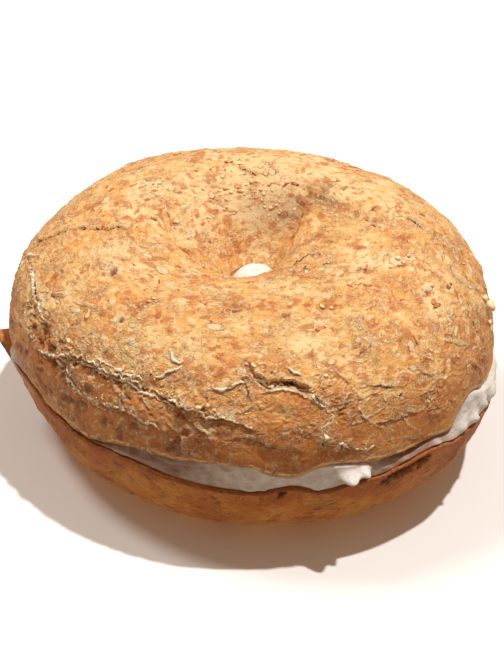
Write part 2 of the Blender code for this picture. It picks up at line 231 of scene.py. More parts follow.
@dataclass(frozen=True)
class BagelForm:
    """The main shapes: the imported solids' own, with a finer cut edge, a lower plug and more exact rims."""

    stretch: float = 0.046
    stretch_azimuth: float = -42.0
    height: float = 47.2
    ridge_radius: float = 30.0
    gap: float = 0.3
    crown_radius: float = 53.0
    girth_height: float = 25.4
    crown_power: float = 2.12
    crown_cut_height: float = 24.2
    edge_blend_height: float = 34.0
    edge_round: float = 0.45
    cut_level_share: float = 0.72
    throat_x: float = 0.7
    throat_y: float = 2.0
    throat_radius: float = 5.3
    throat_height: float = 33.6
    heel_radius: float = 53.8
    heel_cut_height: float = 20.4
    heel_power: float = 2.15
    heel_flattening: float = 1.1
    heel_base_radius: float = 31.0
    heel_dimple_height: float = 14.5
    plug_radius: float = 5.0
    plug_top_height: float = 36.6
    plug_dome_height: float = 3.4
    cheese_sag: float = 1.4
    funnel_slope: float = 0.27

    def outline(self, azimuth: Array, mean: float, bumps: Table) -> Array:
        """Radius of an outline seen from above."""
        ellipse = 1 + self.stretch * np.cos(np.radians(2 * (azimuth - self.stretch_azimuth)))
        return mean * ellipse + wave(bumps, azimuth)

    def crown_rim(self, azimuth: Array) -> Array:
        """Radius of the crown's outline."""
        return self.outline(azimuth, self.crown_radius, CROWN_OUTLINE)

    def heel_rim(self, azimuth: Array) -> Array:
        """Radius of the heel's outline."""
        return self.outline(azimuth, self.heel_radius, HEEL_OUTLINE)

    def rough_radius(self, latitude: float) -> float:
        """About how far the crown's crust at a latitude is from the bagel's middle."""
        outward = (self.crown_radius - self.ridge_radius) * math.cos(math.radians(min(latitude, 90)))
        return self.ridge_radius + outward - max(0.0, latitude - 90) * self.funnel_slope

    def throat(self, azimuth: Array, radius: float) -> Array:
        """Points round the hole's narrow waist, on the ground plane."""
        return np.array([self.throat_x, self.throat_y, 0.0]) + turned(azimuth) * np.asarray(radius)[..., None]

    def crown_crust(self, azimuth: Array, latitude: Array) -> Array:
        """Points of the crown's crust, before its relief.

        Args:
            azimuth: The points' azimuths.
            latitude: Their latitudes.

        Returns:
            The points.
        """
        angle = np.radians(np.clip(latitude, 0, 90))
        outward = np.maximum(np.cos(angle), 0) ** (2 / self.crown_power)
        upward = np.sin(angle) ** (2 / self.crown_power)
        radius = self.ridge_radius + (self.crown_rim(azimuth) - self.ridge_radius) * outward
        height = self.girth_height + (self.height - self.girth_height) * upward
        edge = wave(CROWN_EDGE, azimuth) + self.edge_round
        share = (height - self.girth_height) / (self.edge_blend_height - self.girth_height)
        lowered = edge + (self.edge_blend_height - edge) * share
        height = np.where(height < self.edge_blend_height, lowered, height)
        shoulder = raised(turned(azimuth) * radius[..., None], height)
        down = np.clip((latitude - 90) / 90, 0, 1)
        inner = turned(azimuth) * self.ridge_radius
        inner = inner + (self.throat(azimuth, self.throat_radius) - inner) * down[..., None]
        drop = (self.height - self.throat_height) * down ** wave(FUNNEL_POWER, azimuth)
        funnel = raised(inner, self.height - drop)
        return np.where((latitude <= 90)[..., None], shoulder, funnel)

    def heel_crust(self, azimuth: Array, latitude: Array) -> Array:
        """Points of the heel's crust, from the girth at 0 under the heel to the hole at 180.

        Args:
            azimuth: The points' azimuths.
            latitude: Their latitudes.

        Returns:
            The points.
        """
        angle = np.radians(np.clip(latitude, 0, 90))
        outward = np.maximum(np.cos(angle), 0) ** (2 / self.heel_power)
        downward = np.sin(angle) ** (2 / self.heel_power)
        radius = self.heel_base_radius + (self.heel_rim(azimuth) - self.heel_base_radius) * outward
        side = np.maximum(0, self.girth_height - (self.girth_height + self.heel_flattening) * downward)
        edge = wave(HEEL_EDGE, azimuth) - self.edge_round
        outer = raised(turned(azimuth) * radius[..., None], edge * side / self.heel_cut_height)
        inward = np.clip((latitude - 90) / 90, 0, 1)
        inner = turned(azimuth) * self.heel_base_radius
        inner = inner + (self.throat(azimuth, self.throat_radius) - inner) * (inward**0.8)[..., None]
        rise = (self.heel_dimple_height + self.heel_flattening) * (1 - np.cos(np.radians(inward * 90)))
        dimple = raised(inner, np.maximum(0, rise - self.heel_flattening))
        return np.where((latitude <= 90)[..., None], outer, dimple)

    @property
    def heel_top_latitude(self) -> float:
        """The latitude at which the heel's crust meets its cut."""
        share = (self.girth_height - self.heel_cut_height) / (self.girth_height + self.heel_flattening)
        return math.degrees(math.asin(share ** (self.heel_power / 2)))


FORM = BagelForm()


@dataclass(frozen=True)
class Opening:
    """The open side of a half: the throat of the hole, the cut face and its torn edge; facing is 1 for the crown's."""

    rim: Callable[[Array], Array]
    edge: Table
    level: float
    throat: tuple[float, float]
    facing: int
    pores: float
    seed: int

    def face(self, azimuth: Array, share: Array, hole: float = FORM.throat_radius) -> Array:
        """Points of the cut face, which is level inside and follows the torn edge at the rim.

        Args:
            azimuth: The points' azimuths.
            share: 0 at the hole and 1 at the rim, for each point.
            hole: The hole's radius.

        Returns:
            The points.
        """
        inner = FORM.throat(azimuth, hole)
        outer = turned(azimuth) * (self.rim(azimuth) - FORM.edge_round)[..., None]
        ramp = np.maximum(0, share - FORM.cut_level_share) / (1 - FORM.cut_level_share)
        height = self.level + (wave(self.edge, azimuth) - self.level) * ramp
        return raised(inner + (outer - inner) * np.asarray(share)[..., None], height)

    def shape(self, places: Array, azimuth: Array, inside: dict, values: dict, ragged: Array) -> None:
        """Places the points of the three parts of a half's skin.

        Args:
            places: The half's points, of which these are set.
            azimuth: The azimuth of each point.
            inside: Which points are in each part.
            values: Their values of it.
            ragged: How far the torn edge is up or down at each point.
        """
        waist, cut, edge = inside["waist"], inside["cut"], inside["edge"]
        low, high = self.throat
        places[waist] = raised(FORM.throat(azimuth[waist], FORM.throat_radius), low + values["waist"] * (high - low))
        face = self.face(azimuth[cut], values["cut"])
        pores = self.pores * grain(face, 1.6, 3, seed=self.seed) * smooth(0.0, 0.2, values["cut"])
        places[cut] = raised(face, self.facing * np.abs(pores) + ragged[cut] * smooth(0.85, 1.0, values["cut"]))
        turn = np.radians(values["edge"] * 90)
        inward, upward = (FORM.edge_round * (1 - part) for part in (np.sin(turn), np.cos(turn))[:: self.facing])
        height = wave(self.edge, azimuth[edge]) + self.facing * upward + ragged[edge]
        places[edge] = raised(turned(azimuth[edge]) * (self.rim(azimuth[edge]) - inward)[:, None], height)


CROWN_SIDE = Opening(
    rim=FORM.crown_rim, edge=CROWN_EDGE, level=FORM.crown_cut_height, facing=1, pores=0.35, seed=31,
    throat=(FORM.crown_cut_height, FORM.throat_height),
)  # fmt: skip
HEEL_SIDE = Opening(
    rim=FORM.heel_rim, edge=HEEL_EDGE, level=FORM.heel_cut_height, facing=-1, pores=0.3, seed=43,
    throat=(FORM.heel_dimple_height, FORM.heel_cut_height),
)  # fmt: skip


# --- relief ---


class Tint(Enum):
    """What a point of a skin can be besides plain: each is a number from 0 to 1 kept on the mesh."""

    PALE = "pale"
    # bran brown; also painted shadow at the foot of each layer of flaky skin
    BRAN = "bran"
    # charred brown; also painted shade in cracks, slits, pits, holes, the funnel, the torn flank and on the heel's edge
    DARK = "dark"
    # how brown the crust is baked; also painted shade in creases, holes, low on the sides and at the top of the heel
    TOAST = "toast"
    CRUMB = "crumb"
    LIP = "lip"
    # the painted shadow line below a lip
    SHADE = "shade"


class Reach(Enum):
    """How many millimetres a point of a skin is from something, kept on the mesh so that its edge can be sharp."""

    EDGE = "edge"
    BRAN = "bran_edge"
    SCAB = "scab_edge"


@dataclass
class Relief:
    """What is folded, torn and baked into a skin: how far each point moves, and how it is tinted."""

    points: Array
    normals: Array
    lift: Array = field(init=False)
    slide: Array = field(init=False)
    tints: dict[Tint, Array] = field(init=False)
    reaches: dict[Reach, Array] = field(init=False)
    nearness: Array = field(init=False)

    def __post_init__(self) -> None:
        """Starts with a smooth and plain skin."""
        self.lift = np.zeros(len(self.points))
        self.slide = np.zeros_like(self.points)
        self.tints = {tint: np.zeros(len(self.points)) for tint in Tint}
        self.reaches = {reach: np.full(len(self.points), FAR) for reach in Reach}
        self.nearness = np.full(len(self.points), FAR)

    def draw_edge(self, where: Array, edge: Array, strength: Array, pale: float, dark: float) -> None:
        """Keeps the distance to the nearest fold, and how pale its lip and how dark the painted shadow below it are.

        Args:
            where: The points beside the fold.
            edge: Their distances from the edge of its lip, above 0 on the side that lies lower.
            strength: How strong the fold is beside each of them.
            pale: How pale its lip is.
            dark: How dark the painted shadow line below the lip is.
        """
        score = np.abs(edge) + 0.5 * (1.0 - strength * max(pale, dark))
        nearer = score < self.nearness[where]
        chosen = where[nearer]
        self.nearness[chosen] = score[nearer]
        self.reaches[Reach.EDGE][chosen] = edge[nearer]
        self.tints[Tint.LIP][chosen] = np.clip(pale * strength[nearer], 0, 1)
        self.tints[Tint.SHADE][chosen] = np.clip(dark * strength[nearer], 0, 1)

    def draw_spot(self, kind: Reach, where: Array, distance: Array) -> None:
        """Keeps the distance to the nearest spot of a kind, below 0 inside it."""
        self.reaches[kind][where] = np.minimum(self.reaches[kind][where], distance)

    def tint(self, kind: Tint, amount: Array, where: Array | slice = slice(None)) -> None:
        """Raises a tint to an amount at some of the points, or at all of them."""
        self.tints[kind][where] = np.maximum(self.tints[kind][where], np.clip(amount, 0, 1))

    def near(self, low: Array, high: Array) -> Array:
        """Which points lie in a box."""
        return np.flatnonzero(((self.points > low) & (self.points < high)).all(axis=1))

    def trace(self, line: Array, reach: float) -> Strip:
        """Finds the points beside a line.

        Args:
            line: The line's own points, along the skin.
            reach: How far to look to both sides.

        Returns:
            The points, as a strip.
        """
        near = self.near(line.min(axis=0) - reach, line.max(axis=0) + reach)
        points, normals = self.points[near], self.normals[near]
        best = np.full(len(near), np.inf)
        across, along, sideways = np.zeros(len(near)), np.zeros(len(near)), np.zeros((len(near), 3))
        for k, (start, end) in enumerate(zip(line, line[1:])):
            run = end - start
            share = np.clip((points - start) @ run / max(run @ run, 1e-9), 0, 1)
            offset = points - (start + share[:, None] * run)
            distance = np.linalg.norm(offset, axis=1)
            down = units(np.cross(run, normals))
            closer = distance < best
            best = np.where(closer, distance, best)
            across = np.where(closer, distance * np.sign((down * offset).sum(axis=1)), across)
            along = np.where(closer, (k + share) / (len(line) - 1), along)
            sideways = np.where(closer[:, None], down, sideways)
        keep = best < reach
        return Strip(self, near[keep], across[keep], along[keep], sideways[keep])

    def moved(self) -> Array:
        """The points, in their final place."""
        return self.points + self.normals * self.lift[:, None] + self.slide


@dataclass
class Strip:
    """The points of a relief beside a line.

    Each has a distance across the line, above 0 on the lower side of one that runs towards higher azimuths, a
    share of the way along it, the unit vector across it, and how strong the line is there.
    """

    relief: Relief
    near: Array
    across: Array
    along: Array
    sideways: Array
    strength: Array = field(init=False)

    def lift(self, amount: Array) -> None:
        """Raises the points."""
        self.relief.lift[self.near] += amount

    def push(self, amount: Array) -> None:
        """Moves the points across the line."""
        self.relief.slide[self.near] += self.sideways * amount[:, None]

    def tint(self, kind: Tint, amount: Array) -> None:
        """Raises a tint of the points."""
        self.relief.tint(kind, amount, self.near)


class Fold(Enum):
    """The kinds of line in a crust."""

    CRACK = "an open crack with raised pale lips"
    STEP = "the edge of a torn layer, whose lip hangs over what lies below"
    WRINKLE = "a thin raised fold with a pale crest"
    SLIT = "a short dark cut"
    CREASE = "a soft valley between two rolls of dough"


@dataclass(frozen=True)
class FoldLine:
    """One line in a crust, along a route of (azimuth, latitude) points."""

    kind: Fold
    route: Route
    width: float = 0.6
    depth: float = 0.4
    lip: float = 0.25
    pale: float = 0.8
    waver: float = 0.35
    # how dark a crack's or slit's painted shade, and the painted shadow line below a lip, are
    dark: float = 1.0

    def places(self) -> Array:
        """The route as a smooth line of (azimuth, latitude) places."""
        route = np.array(self.route, float)
        ends = np.vstack([2 * route[0] - route[1], route, 2 * route[-1] - route[-2]])
        steps = np.linspace(0, 1, 7)[:-1, None]
        runs = [between(*points, steps) for points in zip(ends, ends[1:], ends[2:], ends[3:])]
        return np.vstack([*runs, route[-1:]])

    def line(self, crust: Crust) -> Array:
        """The route as a smooth line of points on the crust."""
        places = self.places()
        return crust(places[:, 0], np.clip(places[:, 1], 0, 180))

    def press(self, relief: Relief, crust: Crust) -> None:
        """Works the line into a relief.

        Args:
            relief: The relief.
            crust: The crust's plain form.
        """
        strip = relief.trace(self.line(crust), 3.2 * max(self.width, 1.2) + self.waver)
        if len(strip.near) == 0:
            return
        points = relief.points[strip.near]
        strip.across = strip.across + self.waver * grain(points, 1.4, 2, seed=3)
        fading = np.sqrt(np.sin(np.pi * np.clip(strip.along, 0.004, 0.996)))
        strip.strength = np.clip(fading * (0.75 + 0.7 * grain(points, 2.2, seed=5)), 0, 1.25)
        getattr(self, "_" + self.kind.name.lower())(strip)
        if self.kind is not Fold.CREASE:
            relief.draw_edge(strip.near, self.edge(strip.across), strip.strength, self.pale, self.shade())

    def edge(self, across: Array) -> Array:
        """How far points are from the edge of the lip, for how far across the line they are."""
        if self.kind in (Fold.CRACK, Fold.SLIT):
            return np.minimum(0.5 * self.width - np.abs(across), 0.3)
        return across - 0.13 if self.kind is Fold.WRINKLE else across

    def shade(self) -> float:
        """How dark the painted shadow line below the lip is."""
        return self.dark * {Fold.WRINKLE: 0.35, Fold.STEP: 0.8}.get(self.kind, 1.0)

    def _crack(self, strip: Strip) -> None:
        """A groove with steep walls and a lip on each side."""
        half, off = self.width / 2, np.abs(strip.across)
        groove = smooth(1.3 * half, 0.6 * half, off) * strip.strength
        strip.lift(strip.strength * (self.lip * bell(off - 1.5 * half, 0.45)) - self.depth * groove)
        # painted shade in the groove
        strip.tint(Tint.DARK, 0.8 * self.dark * groove)

    def _step(self, strip: Strip) -> None:
        """A raised lip, and beyond it a drop that fades out over a few widths."""
        across = strip.across
        lip = np.where(across < 0, bell(across, 2.2 * self.width), bell(across, 0.25))
        below = smooth(0.0, 0.3, across) * np.exp(-np.maximum(across, 0) / (2.4 * self.width))
        strip.lift(strip.strength * (self.lip * lip - self.depth * below))
        strip.push(0.5 * self.depth * strip.strength * bell(across + 0.15, 0.45))

    def _wrinkle(self, strip: Strip) -> None:
        """A thin ridge with a shallow trough on its lower side."""
        ridge = bell(strip.across, 0.5 * self.width)
        trough = bell(strip.across - self.width, 0.6 * self.width)
        strip.lift(strip.strength * (self.lip * ridge - self.depth * trough))

    def _slit(self, strip: Strip) -> None:
        """A narrow cut with one raised side."""
        cut = smooth(0.9 * self.width, 0.3 * self.width, np.abs(strip.across))
        strip.lift(strip.strength * (self.lip * bell(strip.across + self.width, 0.6) - self.depth * cut))
        # painted shade in the cut
        strip.tint(Tint.DARK, 0.6 * self.dark * strip.strength * cut)
        strip.tint(Tint.BRAN, 0.5 * strip.strength * bell(strip.across, 1.6 * self.width))

    def _crease(self, strip: Strip) -> None:
        """A wide valley, gentle on its upper side, under a steep roll of dough on its lower side."""
        across, strength, wide = strip.across, strip.strength, self.width
        valley = np.where(across < 0, bell(across, 1.5 * wide), bell(across, 0.55 * wide))
        strip.lift(self.depth * strength * (0.35 * bell(across - 1.2 * wide, 0.8 * wide) - valley))
        # painted shade: the valley is browned
        strip.relief.tints[Tint.TOAST][strip.near] += 0.12 * self.depth * strength * bell(across + 0.2 * wide, wide)
        strip.push(-(0.35 * self.depth * strength * bell(across - 0.6 * wide, 0.5 * wide)))


class Spot(Enum):
    """The kinds of spot on a crust."""

    BRAN = "a piece of bran in the skin"
    PIT = "a hole with a raised rim"
    POCKET = "a dark hole just under a rim"
    SCAB = "a pale flake baked on"
    BLISTER = "a low smooth bump"
    HOLLOW = "a round dark dent"


@dataclass(frozen=True)
class Zone:
    """A patch of a crust, between two azimuths and two latitudes."""

    azimuths: tuple[float, float]
    latitudes: tuple[float, float]

    def holds(self, azimuth: float, latitude: float) -> bool:
        """Whether a place is in the patch."""
        return self.azimuths[0] < azimuth < self.azimuths[1] and self.latitudes[0] < latitude < self.latitudes[1]


# the raised slab in front; the smooth flank at the left, for what is in the skin and for what lies on it; and a
# calm place on the right shoulder
SLAB = Zone((-92, -74), (25, 46))
SLEEK = Zone((-160, -78), (0, 28))
SWEPT = Zone((-162, -76), (0, 26))
CALM = Zone((-67, -50), (27, 45))


@dataclass(frozen=True)
class Mark:
    """One spot on a crust."""

    kind: Spot
    azimuth: float
    latitude: float
    length: float
    width: float
    heading: float = 0.0
    amount: float = 1.0

    def press(self, relief: Relief, centre: Array, normal: Array) -> None:
        """Works the spot into a relief.

        Args:
            relief: The relief.
            centre: The spot's middle, on the crust.
            normal: The direction that the crust faces there.
        """
        reach = 1.9 * max(self.length, self.width)
        near = relief.near(centre - reach, centre + reach)
        if len(near) == 0:
            return
        level = units(np.cross([0.0, 0.0, 1.0], normal))
        rise = np.cross(normal, level)
        turn = math.radians(self.heading)
        along = level * math.cos(turn) + rise * math.sin(turn)
        offset = relief.points[near] - centre
        x, y = offset @ along / self.length, offset @ np.cross(normal, along) / self.width
        rough = grain(relief.points[near], 0.6, 2, seed=11)
        radius = np.hypot(x, y) * (1 + 0.55 * rough)
        inside = smooth(1.05, 0.85, radius)
        distance = (radius - 1) * min(self.length, self.width)
        rim = bell(radius - 1.1, 0.22)
        lit = smooth(-0.4, 0.6, y)
        add = relief.lift
        if self.kind is Spot.BRAN:
            add[near] += 0.16 * self.amount * (inside * (0.5 + rough) - 0.6 * rim * (1 - lit))
            relief.draw_spot(Reach.BRAN, near, distance)
        elif self.kind is Spot.PIT:
            bowl = smooth(1.0, 0.35, radius)
            add[near] += 0.16 * rim - 0.75 * self.width * self.amount * bowl
            # painted shade in the bowl
            relief.tint(Tint.DARK, 0.9 * bowl, near)
            relief.tint(Tint.PALE, 0.7 * rim, near)
        elif self.kind is Spot.POCKET:
            # painted shade in the hole, dark and brown
            bowl = smooth(1.1, 0.7, radius)
            add[near] -= 0.8 * self.width * self.amount * bowl
            relief.tint(Tint.DARK, bowl, near)
            relief.tint(Tint.TOAST, 1.3 * bowl, near)
        elif self.kind is Spot.SCAB:
            add[near] += 0.26 * self.amount * inside * (0.55 + 0.45 * np.clip(y, -1, 1)) + 0.12 * inside * rough
            relief.draw_spot(Reach.SCAB, near, distance)
        elif self.kind is Spot.BLISTER:
            add[near] += 0.3 * self.amount * bell(radius, 0.7)
        else:
            add[near] -= 0.5 * self.amount * bell(radius, 0.75)
            relief.tint(Tint.DARK, 0.55 * self.amount * bell(radius, 0.6), near)
            relief.tint(Tint.BRAN, 0.6 * self.amount * inside, near)


# --- lines and spots of the crown, from the front round by the left ---

CRACK, STEP, WRINKLE, SLIT, CREASE = Fold
CROWN_FOLDS = tuple(FoldLine(*row) for row in (
    # the right roll of dough over the back wall of the funnel, and the left roll
    (CREASE, ((12, 172), (30, 162), (42, 152), (48, 134), (50, 114), (50, 98)), 3.0, 3.6, 0.25, 0.8, 0.4),
    (CREASE, ((150, 118), (168, 132), (186, 142), (202, 151), (215, 160)), 2.8, 2.2, 0.25, 0.8, 0.4),
    # the fissure in the front, the raised slab below it, and the crack on down from its end
    (CRACK, ((-92, 57), (-90, 51), (-88, 48), (-86, 45), (-84, 47), (-81, 46), (-78, 43), (-76, 40)),
     1.3, 2.2, 0.35, 0.9, 0.4),
    (CRACK, ((-78, 43), (-76, 40), (-75, 35), (-73, 31), (-72, 26)), 0.4, 0.8, 0.3, 0.9, 0.25),
    (WRINKLE, ((-88, 41), (-85, 42.5), (-83, 43), (-80, 41.5), (-78, 39), (-76, 36)), 0.8, 0.1, 0.35, 0.8, 0.2),
    (STEP, ((-81, 54), (-80, 53), (-78, 50)), 0.7, 0.6, 0.3),
    (CRACK, ((-72, 27), (-75, 21), (-74, 16), (-75, 13), (-72, 10)), 0.4, 0.9, 0.3, 0.8, 0.35),
    (STEP, ((-74, 13), (-71, 12), (-69, 8), (-66, 7), (-62, 8)), 0.8, 0.7, 0.35, 0.8),
    (STEP, ((-96, 15), (-92, 17), (-89, 16), (-86, 13.5), (-82, 13), (-78, 11)), 0.9, 0.7, 0.3, 0.75),
    (WRINKLE, ((-74, 7), (-74.5, 4), (-74, 1)), 0.8, 0.5, 0.3, 0.4),
    # the layer that has torn away over the lower left: its upper and its lower lip
    (STEP, ((-146, 24), (-143, 27), (-140, 30), (-137, 34), (-131, 34), (-125, 34.5), (-119, 35), (-112, 33)),
     0.9, 0.9, 0.3, 1.0, 0.8),
    (WRINKLE, ((-141, 27), (-138, 30), (-134, 31), (-129, 31), (-124, 32), (-119, 32), (-113, 30.5), (-108, 28)),
     0.45, 0.5, 0.3, 1.0, 0.7, 2.0),
    (STEP, ((-114, 34), (-108, 31), (-104, 29), (-100, 27)), 0.8, 1.0, 0.45, 1.0, 0.7),
    (WRINKLE, ((-132, 37), (-126, 38), (-121, 37), (-116, 38)), 0.4, 0.2, 0.2, 0.9, 0.6),
    (STEP, ((-103, 26), (-98, 27), (-95, 26.5), (-92, 24), (-89, 21)), 1.1, 0.8, 0.45, 1.0, 0.4),
    (STEP, ((-160, 24), (-156, 22), (-152, 20), (-148, 22), (-144, 25), (-141, 22), (-138, 20), (-133, 17.5)),
     0.8, 1.0, 0.3, 1.0, 0.7),
    (WRINKLE, ((-153, 18), (-149, 19), (-145, 21.5), (-141, 19), (-137, 16.5), (-131, 15), (-126, 14)),
     0.45, 0.4, 0.25, 0.9, 0.7, 2.0),
    (STEP, ((-135, 18.5), (-128, 16), (-124, 18), (-117, 17), (-111, 14)), 0.8, 0.7, 0.35, 0.95, 0.7),
    (STEP, ((-149, 31), (-145, 29), (-142, 26), (-140, 23)), 1.4, 1.1, 0.1, 0.3, 0.4),
    (WRINKLE, ((-116, 44), (-114, 41), (-111, 46), (-108, 50)), 0.6, 0.2, 0.35, 0.9, 0.2),
    (WRINKLE, ((-113, 58), (-110, 52), (-108, 53)), 0.5, 0.2, 0.3, 0.9, 0.2),
    (STEP, ((-101, 40), (-96, 43), (-93, 46), (-90.5, 46.5)), 0.8, 0.4, 0.3, 0.8),
    (WRINKLE, ((-100, 40), (-100.5, 44), (-103, 46), (-105, 42)), 0.5, 0.2, 0.3, 0.7, 0.2),
    # the seam where the dough was closed, and the pale crack that goes on from it down the left
    (CRACK, ((174, 41), (175, 47), (175.5, 58), (175, 72), (176, 80), (177, 87), (175.5, 92), (177, 98), (180, 106)),
     0.8, 1.0, 0.3, 0.2, 0.4),
    (STEP, ((175, 50), (175, 60), (175, 70), (176, 80), (176, 92), (180, 106)), 1.0, 0.35, 0.45, 0.15),
    (CRACK, ((180, 40), (187, 44), (192, 44), (197, 41.5), (202, 39), (206, 37)), 0.8, 0.9, 0.45, 1.0, 0.35),
    (WRINKLE, ((184, 52), (181, 47), (179, 40), (180, 33)), 0.9, 0.2, 0.35, 0.8),
    # fine folds on the right shoulder
    (WRINKLE, ((-73, 32), (-69, 33), (-66, 33), (-62, 34), (-57, 36)), 0.4, 0.15, 0.18, 0.72),
    (STEP, ((-65, 39), (-62, 38), (-60, 37), (-57, 34), (-54, 31)), 0.55, 0.4, 0.18, 0.72),
    (WRINKLE, ((-66, 53), (-63, 52), (-60, 51)), 0.4, 0.15, 0.18, 0.77),
    (WRINKLE, ((-70, 20), (-67, 21), (-63, 23), (-60, 25)), 0.4, 0.15, 0.18, 0.68),
    (STEP, ((-65, 19), (-60, 18), (-57, 17), (-53, 17)), 0.55, 0.4, 0.18, 0.68),
    (WRINKLE, ((-29, 40), (-30, 34), (-32, 27), (-35, 21), (-36, 13)), 0.4, 0.15, 0.18, 0.72, 0.5),
    (WRINKLE, ((-26, 49), (-32, 47), (-35, 40), (-34, 33)), 0.4, 0.15, 0.18, 0.72),
    (WRINKLE, ((-47, 26), (-45, 27), (-41, 24), (-37, 20)), 0.4, 0.15, 0.18, 0.68),
    (WRINKLE, ((-56, 19), (-51, 16), (-45, 13)), 0.4, 0.15, 0.18, 0.68),
    (STEP, ((-57, 7), (-54, 4), (-51.5, 2)), 0.55, 0.4, 0.18, 0.42),
    (WRINKLE, ((-22, 44), (-24, 34), (-25, 26), (-28, 18)), 0.4, 0.15, 0.18, 0.59),
    # pleats that run out of the hole to the right
    (STEP, ((-72, 138), (-62, 139), (-54, 143), (-40, 142), (-28, 131)), 0.9, 0.35, 0.35, 0.35, 0.25),
    (STEP, ((-68, 134), (-60, 134), (-50, 131), (-36, 124), (-28, 116)), 0.9, 0.35, 0.35, 0.4, 0.25),
    (WRINKLE, ((-66, 131), (-53, 131), (-41, 122), (-33, 110), (-32, 99), (-28, 90)), 0.8, 0.3, 0.3, 0.35, 0.3),
    (WRINKLE, ((-74, 128), (-66, 126), (-58, 120), (-52, 112)), 0.7, 0.2, 0.25, 0.35),
    (SLIT, ((-36, 106), (-33, 102), (-31, 97)), 0.4, 0.5, 0.2, 0.6, 0.15),
    # dark slits on the far right, and pale lines that wander down from them
    (SLIT, ((11, 81), (7, 77), (3, 73)), 0.55, 0.9, 0.3, 0.5, 0.15),
    (SLIT, ((7, 107), (5, 103), (3, 98)), 0.4, 0.7, 0.2, 0.5, 0.1),
    (SLIT, ((2, 68), (1, 66), (-1, 64)), 0.5, 0.7, 0.2, 0.5, 0.1),
    (SLIT, ((3, 149), (5, 141), (7, 133)), 0.5, 0.5, 0.2, 0.3, 0.2),
    (WRINKLE, ((-8, 73), (-17, 72), (-27, 74), (-32, 78)), 0.6, 0.2, 0.25, 0.7),
    (WRINKLE, ((-4, 65), (-9, 63), (-13, 59)), 0.5, 0.1, 0.2, 0.7),
    # short cracks at the back left, a slit high on the funnel's far wall, one under a piece of bran in front
    (SLIT, ((146, 104), (147, 109), (147, 114)), 0.3, 0.5, 0.15, 0.2, 0.2),
    (SLIT, ((149, 119), (153, 125), (159, 130)), 0.3, 0.4, 0.15, 0.2, 0.2),
    (SLIT, ((96, 98), (91, 103), (87, 108)), 0.4, 0.7, 0.2, 0.4, 0.1),
    (SLIT, ((-99.5, 90), (-96, 89.5), (-93.5, 90.5)), 0.45, 0.7, 0.2, 0.5, 0.1),
))  # fmt: skip

BRAN, PIT, POCKET, SCAB, BLISTER, HOLLOW = Spot
CROWN_MARKS = tuple(Mark(*row) for row in (
    (HOLLOW, -177, 146, 1.7, 1.5), (HOLLOW, 50, 106, 2.4, 1.5, 60, 0.6), (HOLLOW, -147, 27, 1.7, 1.0, 10, 1.5),
    (HOLLOW, -152, 24, 1.3, 0.8, 0, 1.6), (HOLLOW, -141, 24, 1.4, 0.9, -20, 1.5), (PIT, -138, 27, 0.8, 0.6),
    (HOLLOW, -131, 21, 1.0, 0.6, 0, 0.7), (HOLLOW, -164, 56, 1.1, 1.0), (PIT, -131, 63, 0.8, 0.7),
    (HOLLOW, -157, 27, 1.1, 0.9), (PIT, 163, 117, 1.1, 0.6, 120), (SCAB, -146, 52, 1.1, 0.45, 80),
    (PIT, -152, 84, 1.9, 1.1, 145), (PIT, 142, 89, 1.0, 0.5, 10), (SCAB, 136, 94, 1.6, 1.0, 0),
    (SCAB, 156, 78, 1.4, 0.8, 20), (BRAN, 160, 74, 1.7, 0.8, -20), (SCAB, -142, 112, 1.8, 1.1, -20),
    (BRAN, -148, 110, 2.2, 0.9, 10), (BRAN, -62, 87, 2.6, 1.1, 10), (SCAB, -21, 86, 1.8, 1.2, 20),
    (SCAB, -17, 80, 1.5, 1.0, -40), (SCAB, -27, 66, 1.4, 1.0, 0), (HOLLOW, -29, 64, 0.9, 0.7, 0),
    (BRAN, 65, 139, 1.5, 0.9, 40), (BRAN, -96, 92, 3.0, 0.9, 0), (SCAB, -102, 77, 1.6, 0.8, 0),
    (SCAB, -107, 7, 0.9, 0.35, -40), (BRAN, -103, 45, 1.6, 1.2, 0), (BLISTER, -82, 36, 5.5, 2.6, -12, 2.2),
    (BLISTER, -132, 23, 5.0, 2.0, -10, 1.2), (BLISTER, -33, 20, 3.0, 4.0, 0, 1.2),
))  # fmt: skip


# --- meshes ---


def deselect() -> None:
    """Leaves nothing selected."""
    bpy.ops.object.select_all(action="DESELECT")


@contextmanager
def editing(action: Optional[str] = None) -> Iterator[None]:
    """Opens the mesh of the piece at hand for edits.

    Args:
        action: SELECT or DESELECT for all of it; without one, what is selected stays so.
    """
    bpy.ops.object.mode_set(mode="EDIT")
    if action is not None:
        bpy.ops.mesh.select_all(action=action)
    yield
    bpy.ops.object.mode_set(mode="OBJECT")


def vectors(items: bpy.types.bpy_prop_collection, name: str) -> Array:
    """Reads a vector of each vertex, face or kept value of a mesh.

    Args:
        items: The vertices, the faces or the values.
        name: What the vector is called.

    Returns:
        The vectors, one row each.
    """
    values = np.empty(len(items) * 3)
    items.foreach_get(name, values)
    return values.reshape(-1, 3)


def corners(mesh: Mesh) -> Array:
    """The places of a mesh's vertices, one row each."""
    return vectors(mesh.vertices, "co")


def place_corners(mesh: Mesh, places: Array) -> None:
    """Moves a mesh's vertices."""
    mesh.vertices.foreach_set("co", places.ravel())
    mesh.update()


def subdivide(piece: Piece, chosen: Array) -> None:
    """Cuts the chosen faces of a piece in four.

    Args:
        piece: The piece.
        chosen: One truth value for each of its faces.
    """
    mesh = piece.data
    with editing("DESELECT"):
        bpy.ops.mesh.select_mode(type="FACE")
    mesh.polygons.foreach_set("select", chosen.astype(bool))
    with editing():
        bpy.ops.mesh.subdivide(number_cuts=1, smoothness=0, ngon=False)


def keep_number(mesh: Mesh, name: str, values: Array) -> None:
    """Keeps a number for each vertex on a mesh, for its material to read."""
    layer = mesh.attributes.new(name, "FLOAT", "POINT")
    layer.data.foreach_set("value", np.asarray(values, np.float32))


